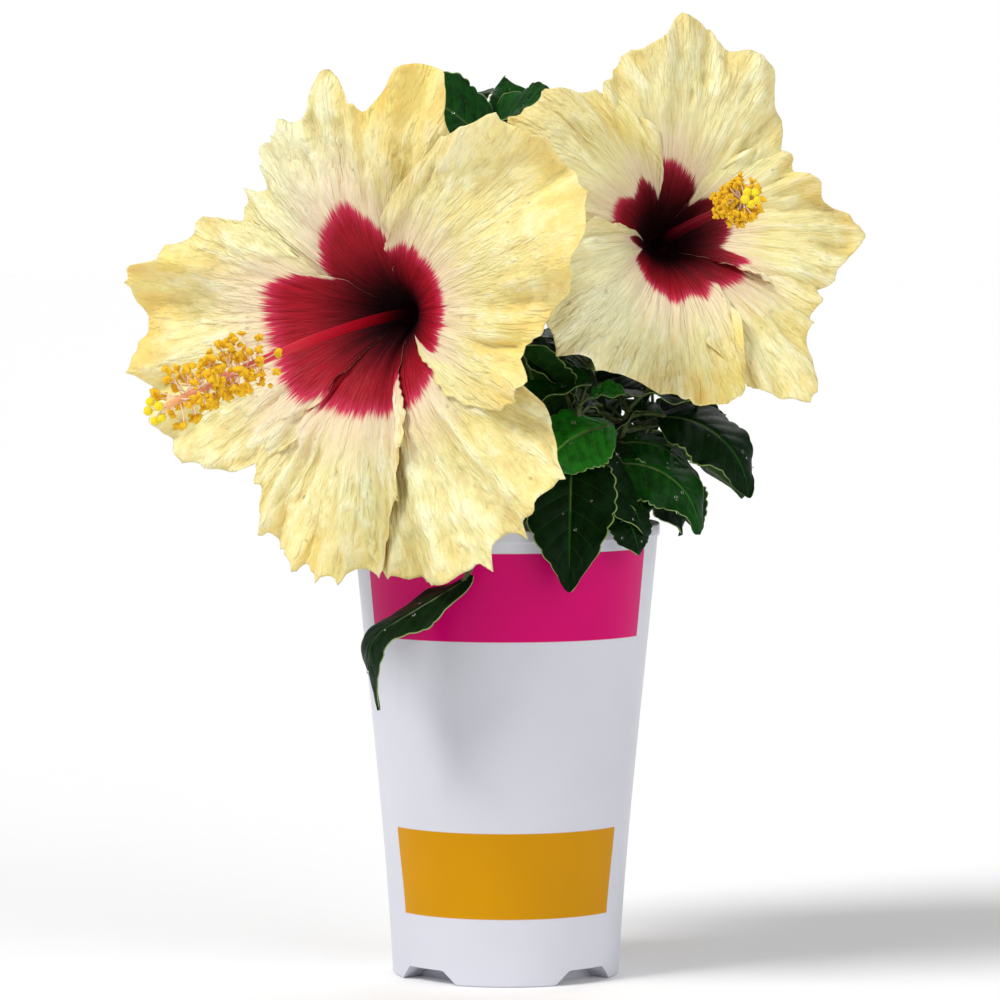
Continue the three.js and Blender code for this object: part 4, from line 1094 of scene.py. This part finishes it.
def leaf_spine(leaf, s):
    """The points of the spine, and the directions there across the blade's face and to its side."""
    first = leaf["el"] * RAD
    bend = math.copysign(max(0.5, abs(leaf["droop"])), leaf["droop"]) * RAD
    if "crook" in leaf:  # the blade bends only between these two shares of its length
        near, far = leaf["crook"]
        steps = np.linspace(0, 1, CROOK_STEPS + 1)
        slopes = first - bend * soft(((steps[1:] + steps[:-1]) / 2 - near) / (far - near))
        slope = first - bend * soft((s - near) / (far - near))
        level, rise = (np.interp(s, steps, np.append(0, np.cumsum(f(slopes))) * leaf["len"] / CROOK_STEPS)
                       for f in (np.cos, np.sin))
    else:
        slope = first - bend * s
        level = leaf["len"] * (math.sin(first) - np.sin(slope)) / bend
        rise = leaf["len"] * (np.cos(slope) - math.cos(first)) / bend
    x, y, _ = heading(leaf["az"])
    at = np.asarray(leaf["base"], float) + np.stack([level * x, level * y, rise], -1)
    over = np.stack([-np.sin(slope) * x, -np.sin(slope) * y, np.cos(slope)], -1)
    return at, over, np.broadcast_to(np.array([-y, x, 0.0]), at.shape)


def leaf_outline(s):
    return np.maximum(0, np.sin(np.pi * s**0.72)) ** 0.85


def leaf_half(leaf, s):
    return leaf["wide"] * (0.05 + 0.95 * leaf_outline(s))


def leaf_points(leaf, w, s, half=None, lift=0.0):
    """w is from -1 to 1 across the blade, s from 0 to 1 along it."""
    at, over, side = leaf_spine(leaf, s)
    roll, fold = leaf["roll"] * RAD, leaf["fold"] * RAD
    rolled_side = side * math.cos(roll) + over * math.sin(roll)
    rolled_over = over * math.cos(roll) - side * math.sin(roll)
    half = leaf_half(leaf, s) if half is None else half
    out = (w * half * math.cos(fold))[..., None]
    up = (np.abs(w) * half * math.sin(fold) + lift)[..., None]
    return at + rolled_side * out + rolled_over * up


def leaf_samples(leaf):
    s, w = np.meshgrid(np.arange(9) / 8, np.arange(5) / 2 - 1, indexing="ij")
    return leaf_points(leaf, w, s).reshape(-1, 3)


def limb_samples():
    points = [path(np.arange(17) / 16) for path in limb_paths.values()]
    points += [stalk_path(bloom)(np.arange(11) / 10) for bloom in BLOOMS.values()]
    return np.concatenate(points)


LIMBS = limb_samples()
BEHIND_PETALS, BESIDE_PETALS, CALYX_ROOM, STALK_ROOM = 11, 8, 20, 40
RIM_ROOM, EDGE_ROOM = (48, 62), 1.2


def clear_of_blooms(p):
    """Whether the points lie beside the blooms, or behind their petals and away from their stalks."""
    for bloom in BLOOMS.values():
        basis, origin = bloom_frame(bloom)
        q = (p - origin) @ basis.T
        radius = np.hypot(q[:, 0], q[:, 1])
        farthest = max(max(one.reach) for one in bloom["petals"])
        behind = funnel(bloom, np.maximum(THROAT_RADIUS, radius)) - BEHIND_PETALS
        beside = (radius > CALYX_ROOM) | (q[:, 2] < -bloom["depth"] - STALK_ROOM)
        if not np.all((radius > farthest + BESIDE_PETALS) | ((q[:, 2] < behind) & beside)):
            return False
    return True


def apart(p, q, gap):
    """Whether no point of p lies within gap of one of q."""
    return len(q) == 0 or np.min(np.linalg.norm(p[:, None] - q[None], axis=-1)) > gap


def fits(mass, p, taken, leaf_gap, limb_gap):
    """Whether the points lie within the mass, clear of the pot, the soil, the blooms, the limbs and taken."""
    radius = np.hypot(p[:, 0], p[:, 1])
    turn = np.arctan2(p[:, 1], p[:, 0])
    room = (p[:, 2] > mass.band[0]) & (p[:, 2] < mass.band[1]) & (radius < mass.reach)
    for past in (turn - mass.wedge[0] * RAD, mass.wedge[1] * RAD - turn):
        room &= np.sin(past) * radius > EDGE_ROOM
    in_pot = (p[:, 2] < POT_HEIGHT + 2) & (radius > RIM_ROOM[0]) & (radius < RIM_ROOM[1])
    in_soil = (p[:, 2] < SOIL_TOP + 3) & (radius < RIM_ROOM[1])
    if not np.all(room & ~in_pot & ~in_soil):
        return False
    return clear_of_blooms(p) and apart(p, LIMBS, limb_gap) and apart(p, taken, leaf_gap)


def stem_of(mass):
    return bowed(limb_paths[mass.bough](1.0), mass.end, mass.bow)


def spiral_leaf(stem, at, start, seed, k, n, scale, tone):
    """The k-th leaf of a spiral along a stem, in the n-th of the places tried for it."""
    spin = dice(seed, 40 * k + 4 * n)
    long = 0.8 + 0.4 * dice(seed, 40 * k + 4 * n + 1)
    rise = dice(seed, 40 * k + 4 * n + 2)
    az = start + SPIRAL * k + (0 if n == 0 else 300 * (spin - 0.5))
    shrink = (1 - 0.025 * n) * scale
    el = -24 + 66 * rise
    base = stem(at) + heading(az, el) * (13 + 9 * long) * (1 if scale == 1 else 0.6)
    length, wide = LEAF_LENGTH * long * shrink, LEAF_HALF_WIDTH * long * shrink
    return lead(at, base, az, el - 6, 30 + 44 * rise, length, wide, 40 * (spin - 0.5), 12, tone)


def twigs_of(mass):
    """Side twigs of a mass's stem, each with room for its leaves."""
    stem, (_, start, seed) = stem_of(mass), mass.spiral
    twigs = []
    for k in range(TWIG_TRIES):
        root = stem(0.1 + 0.8 * k / TWIG_TRIES)
        out = heading(start + 70 + SPIRAL * k, 4 + 44 * dice(seed, 9000 + k))
        path = bowed(root, root + out * (22 + 14 * dice(seed, 9100 + k)), (0, 0, -1.5))
        if fits(mass, path(np.linspace(0.3, 1, 8)), np.zeros((0, 3)), 0, SMALL_LIMB_APART):
            twigs.append(path)
    return twigs


def edge_leaves(mass, limbs):
    """Leaves beside the two planes that bound the mass's wedge, so that neighbouring masses close up."""
    seed = mass.spiral[2] + 3000
    paths = [limb(np.linspace(0.05, 1, 24)) for limb in limbs]
    leaves = []
    for edge, inward in ((mass.wedge[0], 1), (mass.wedge[1], -1)):
        for k, z in enumerate(np.arange(mass.band[0] + 16, mass.band[1] - 6, 9)):
            for n, reach in enumerate((46, 34, 24, 58)):
                chance = [dice(seed, 40 * k + 4 * n + c) for c in range(4)]
                wide = 10 + 4 * chance[0]
                az = edge + inward * math.degrees(math.asin((wide + 2.5) / (reach + 20)))
                base = reach * heading(az) + (0, 0, z + 5 * chance[1])
                near = [np.linalg.norm(path + (0, 0, 5) - base, axis=1) for path in paths]
                limb = int(np.argmin([d.min() for d in near]))
                at = 0.05 + 0.95 * int(np.argmin(near[limb])) / 23
                az, el = az + 30 * (chance[2] - 0.5), 26 * chance[3] - 4
                if near[limb].min() < 34:
                    leaves.append(lead(at, base, az, el, 62, 2.7 * wide, wide, 0, 10, limb=limb))
    return leaves


FRONT_EDGE = -20  # the smaller leaves of the front masses lie behind this, so that the leading leaves show


def leaves_of(mass, limbs):
    """The leading leaves, then a spiral of leaves, then smaller ones in the room behind them, along the stem
    and along its twigs."""
    count, start, seed = mass.spiral
    leaves = [leaf | {"leading": True} for leaf in mass.leading]
    taken = np.concatenate([leaf_samples(leaf) for leaf in leaves]) if leaves else np.zeros((0, 3))
    # limb, number of leaves, first angle, seed, scale
    rounds = [(0, count, start, seed, 1.0), (0, 14, start + 60, seed + 500, 0.74)]
    rounds += [(k, 6, start + 90 * k, seed + 2000 + 50 * k, 0.66) for k in range(1, len(limbs))]
    rounds += [(0, 14, start + 200, seed + 900, 0.56), (0, 12, start + 300, seed + 1300, 0.36)]
    nearest = FRONT_EDGE if len(mass.leading) > 3 else -mass.reach
    for limb, number, first, dealt, scale in rounds:
        for k in range(number):
            at = 0.12 + 0.88 * k / max(1, number - 1)
            for n in range(LEAF_TRIES):
                tone = 2 if scale < 0.5 and at > 0.6 else int(2 * dice(dealt, 40 * k + 4 * n + 3))
                leaf = spiral_leaf(limbs[limb], at, first, dealt, k, n, scale, tone) | {"limb": limb}
                samples = leaf_samples(leaf)
                gaps = (LEAF_APART, LIMB_APART) if scale == 1 else (SMALL_LEAF_APART, SMALL_LIMB_APART)
                behind = scale == 1 or samples[:, 1].min() > nearest
                if behind and fits(mass, samples, taken, *gaps):
                    leaves.append(leaf)
                    taken = np.concatenate([taken, samples])
                    break
    for leaf in edge_leaves(mass, limbs):
        samples = leaf_samples(leaf)
        if samples[:, 1].min() > nearest and fits(mass, samples, taken, SMALL_LEAF_APART, SMALL_LIMB_APART):
            leaves.append(leaf)
            taken = np.concatenate([taken, samples])
    return leaves


RELIEF_WIDTH = 17  # the half width of a leaf that has the relief below at full height
# the rows along a blade and its columns from margin to midrib, for leading, large and small leaves
BLADE_GRIDS = [
    (60, [-1, -0.975, -0.93, -0.86, -0.76, -0.65, -0.53, -0.41, -0.3, -0.2, -0.12, -0.06, -0.025]),
    (46, [-1, -0.96, -0.88, -0.74, -0.56, -0.38, -0.2, -0.05]),
    (34, [-1, -0.95, -0.82, -0.6, -0.3, -0.06]),
]


def fine_leaf(leaf, number):
    """The leaf's own outline with teeth, sunk veins and a waved margin."""
    rows, half_across = BLADE_GRIDS[0 if leaf.get("leading") else 1 if leaf["wide"] > 13.5 else 2]
    across = np.concatenate([half_across, [0], -np.array(half_across[::-1])])
    s, w = np.meshgrid(np.linspace(0, 1, rows + 1), across, indexing="ij")
    seed = 900 + number % 37
    size = leaf["wide"] / RELIEF_WIDTH
    off = np.abs(w)
    tip = np.clip((s - 0.8) / 0.2, 0, 1)
    half = leaf["wide"] * (0.03 + 0.97 * leaf_outline(s) * (1 - 0.5 * tip * (1 - tip)))
    side = np.sign(w) * 11 + 20
    tooth = s * LEAF_TEETH + 0.35 * noise(s * 4, side, seed)
    bulge = np.abs(np.sin(np.pi * tooth)) ** 0.6
    notch = (bulge - 0.75) * soft((s - 0.12) / 0.15) * (1 - 0.8 * soft((s - 0.9) / 0.1))
    half = half * (1 + 0.1 * notch * off**5 + 0.07 * noise(s * 3.2, side, seed + 1) * off**2)
    veins = np.abs(((s * VEINS - off * VEIN_SLANT) % 1) - 0.5) * 2
    pucker = 0.55 * (1 - veins**2.2) * soft(off / 0.12) * (1 - off**3) * soft(s / 0.1) * (1 - s**4)
    groove = -0.5 * np.exp(-((w / 0.06) ** 2)) * (1 - s)
    ripple = np.sin(2 * np.pi * (2.6 * s + dice(seed, 1)) + np.sign(w)) + 0.6 * noise(s * 9, side, seed + 2)
    wave = 1.5 * off**2.5 * ripple
    broad = 0.8 * fractal(w * 1.2 + 5, s * 3, seed + 4, 2)
    lift = (pucker + groove + wave * soft(s / 0.15) + broad * soft(s / 0.2) * off) * size
    return leaf_points(leaf, w, s, half, lift), s, w


def rib_of(leaf):
    """The midrib's path, just under the blade."""
    along = np.linspace(0, 1, 20)
    at, over, _ = leaf_spine(leaf, np.linspace(0.04, 0.8, 20))
    centre = at - over * 0.3 * leaf["wide"] / RELIEF_WIDTH
    return lambda t: np.stack([np.interp(t, along, centre[:, i]) for i in range(3)], -1)


def make_mass(name, mass):
    stem = stem_of(mass)
    wide = max(TWIG_RADIUS, limb_tips[mass.bough] - 0.1)
    limbs = [stem] + twigs_of(mass)
    leaves = leaves_of(mass, limbs)
    blades, stems = Bag(), Bag()
    marks = [leaf["at"] for leaf in leaves if not leaf.get("limb")]

    def stem_radius(t):
        swell = sum(0.35 * np.exp(-(((t - m) / 0.02) ** 2)) for m in marks)
        return wide + (1.1 - wide) * t + swell

    tube(stems, stem, stem_radius, 90, 14, relief=uneven(0.08, 40, 1.5, 61))
    for k in {leaf["limb"] for leaf in leaves if leaf.get("limb")}:
        tube(stems, limbs[k], lambda t: 1.15 - 0.35 * t, 24, 9, relief=uneven(0.06, 20, 1.5, 63))
    for number, leaf in enumerate(leaves):
        points, s, w = fine_leaf(leaf, number + 7 * len(name))
        small = leaf["wide"] < 12
        thickness = 0.3 if small else 0.45
        mats = UNDERSIDE, leaf["tone"]
        cells = [np.stack([(cell + 0.02 + 0.48 * (w + 1)) / 4, 0.01 + 0.98 * s], -1) for cell in mats]
        here = np.stack([w, s, np.full_like(s, leaf["tone"])], -1)
        sheet(blades, points, thickness, mats, cells, blade=here)
        root = limbs[leaf.get("limb", 0)](leaf["at"])
        end = leaf_spine(leaf, np.array(0.06))[0]
        sag = 0.1 * np.linalg.norm(root - end)
        thick = PETIOLE_RADIUS * (0.75 if small else 1)
        petiole = bowed(root, end, (0, 0, sag))
        tube(stems, petiole, lambda t: thick * (0.82 + 0.3 * np.abs(2 * t - 1) ** 3), 11, 7)
        tube(stems, rib_of(leaf), lambda t: thick * (0.72 - 0.55 * t), 12, 5)
    blades.build(name.replace("leaves", "leaf_blades"), LEAF_TONES, "leaf", [name], uv=True)
    stems.build(name.replace("leaves", "stems"), [STEM], "leaf")
    return leaves


# water drops


def drop(bag, at, normal, size, rng):
    verts, faces = BALLS[2]
    across = unit(np.cross(normal, [0.3, 0.8, 0.5]))
    basis = np.stack([across, np.cross(normal, across), normal])
    low = verts * (size, size * (0.85 + 0.3 * rng.rand()), size * 0.6)
    bag.add(low @ basis + at + normal * size * 0.25, (faces, 0))


def make_drops(leaves):
    bag = Bag()
    rng = np.random.RandomState(77)
    for side, count in (("left", 44), ("right", 28)):
        bloom = BLOOMS[side]
        for _ in range(count):
            index, a, b = rng.randint(5), 0.2 + 0.6 * rng.rand(), 0.45 + 0.5 * rng.rand()
            near = np.array([[a, a + 0.01], [a, a + 0.01]]), np.array([[b, b], [b + 0.01, b + 0.01]])
            p = to_world(bloom, petal_surface(bloom, index, *near)[0])
            normal = -surface_normals(p)[0, 0]
            drop(bag, p[0, 0] + normal * 0.25, normal, 0.35 + 0.5 * rng.rand() ** 2, rng)
    for leaf in leaves:
        for _ in range(4 if leaf.get("leading") else 0):
            w, s = rng.rand() * 1.4 - 0.7, 0.2 + 0.6 * rng.rand()
            grid_s, grid_w = np.meshgrid([s, s + 0.02], [w, w + 0.03], indexing="ij")
            p = leaf_points(leaf, grid_w, grid_s)
            normal = -surface_normals(p)[0, 0]
            drop(bag, p[0, 0] + normal * 0.7, normal, 0.4 + 0.5 * rng.rand() ** 2, rng)
    bag.build("water_drops", [WATER], "petal")


# the plant

make_pot()
make_soil()
make_limbs()
for side_, bloom_ in BLOOMS.items():
    make_petals(side_, bloom_)
    make_column(side_, bloom_)
    make_calyx(side_, bloom_)
all_leaves = []
for name_, mass_ in MASSES.items():
    all_leaves += make_mass(name_, mass_)
make_drops(all_leaves)

# floor, lights and camera

FLOOR_REACH = 40 / MM


def stage_plane():
    stops = [(0.3, (0.95, 0.95, 0.95, 1)), (0.7, (0.96, 0.96, 0.96, 1))]
    paper = grained("floor_paper", (40, 2), stops, roughness=0.9)
    floor = Bag()
    corners = [(-1, -1, 0), (1, -1, 0), (1, 1, 0), (-1, 1, 0)]
    floor.add(np.array(corners) * FLOOR_REACH, ([[0, 1, 2, 3]], 0))
    add_object("floor", floor.mesh("floor", [paper]))


def light(name, source, power, softness):
    """A distant soft light that shines from source towards the plant."""
    data = bpy.data.lights.new(name, "SUN")
    data.energy, data.angle = power, softness * RAD
    add_object(name, data).rotation_euler = Vector(source).to_track_quat("Z", "Y").to_euler()


stage_plane()
world = bpy.data.worlds.new("studio")
world.use_nodes = True
tree = world.node_tree
backdrop = tree.nodes["Background"]
backdrop.inputs[0].default_value = (1, 1, 1, 1)
# the camera sees the backdrop at full strength, and it lights the plant with a third of that
seen = tree.nodes.new("ShaderNodeLightPath").outputs["Is Camera Ray"]
strength = tree.nodes.new("ShaderNodeMapRange")
tree.links.new(seen, strength.inputs["Value"])
strength.inputs["To Min"].default_value, strength.inputs["To Max"].default_value = 0.32, 1.0
tree.links.new(strength.outputs[0], backdrop.inputs[1])
bpy.context.scene.world = world
light("key", (-0.85, -0.6, 1.1), 2.3, 22)
light("fill", (0.9, -1.0, 0.5), 0.9, 50)
light("rim", (0.3, 1.0, 0.8), 0.6, 40)

CAMERA_PLACE, CAMERA_DOWN = (-0.00227, -1.89, 0.2818), 3.1  # metres, and degrees below the level
camera_data = bpy.data.cameras.new("camera")
camera_data.lens, camera_data.sensor_width = 180, 36
camera_data.clip_start, camera_data.clip_end = 0.05, 30
camera = add_object("camera", camera_data)
camera.location = CAMERA_PLACE
camera.rotation_euler = ((90 - CAMERA_DOWN) * RAD, 0, 0)
bpy.context.scene.camera = camera
bpy.context.scene.view_settings.view_transform = "Standard"
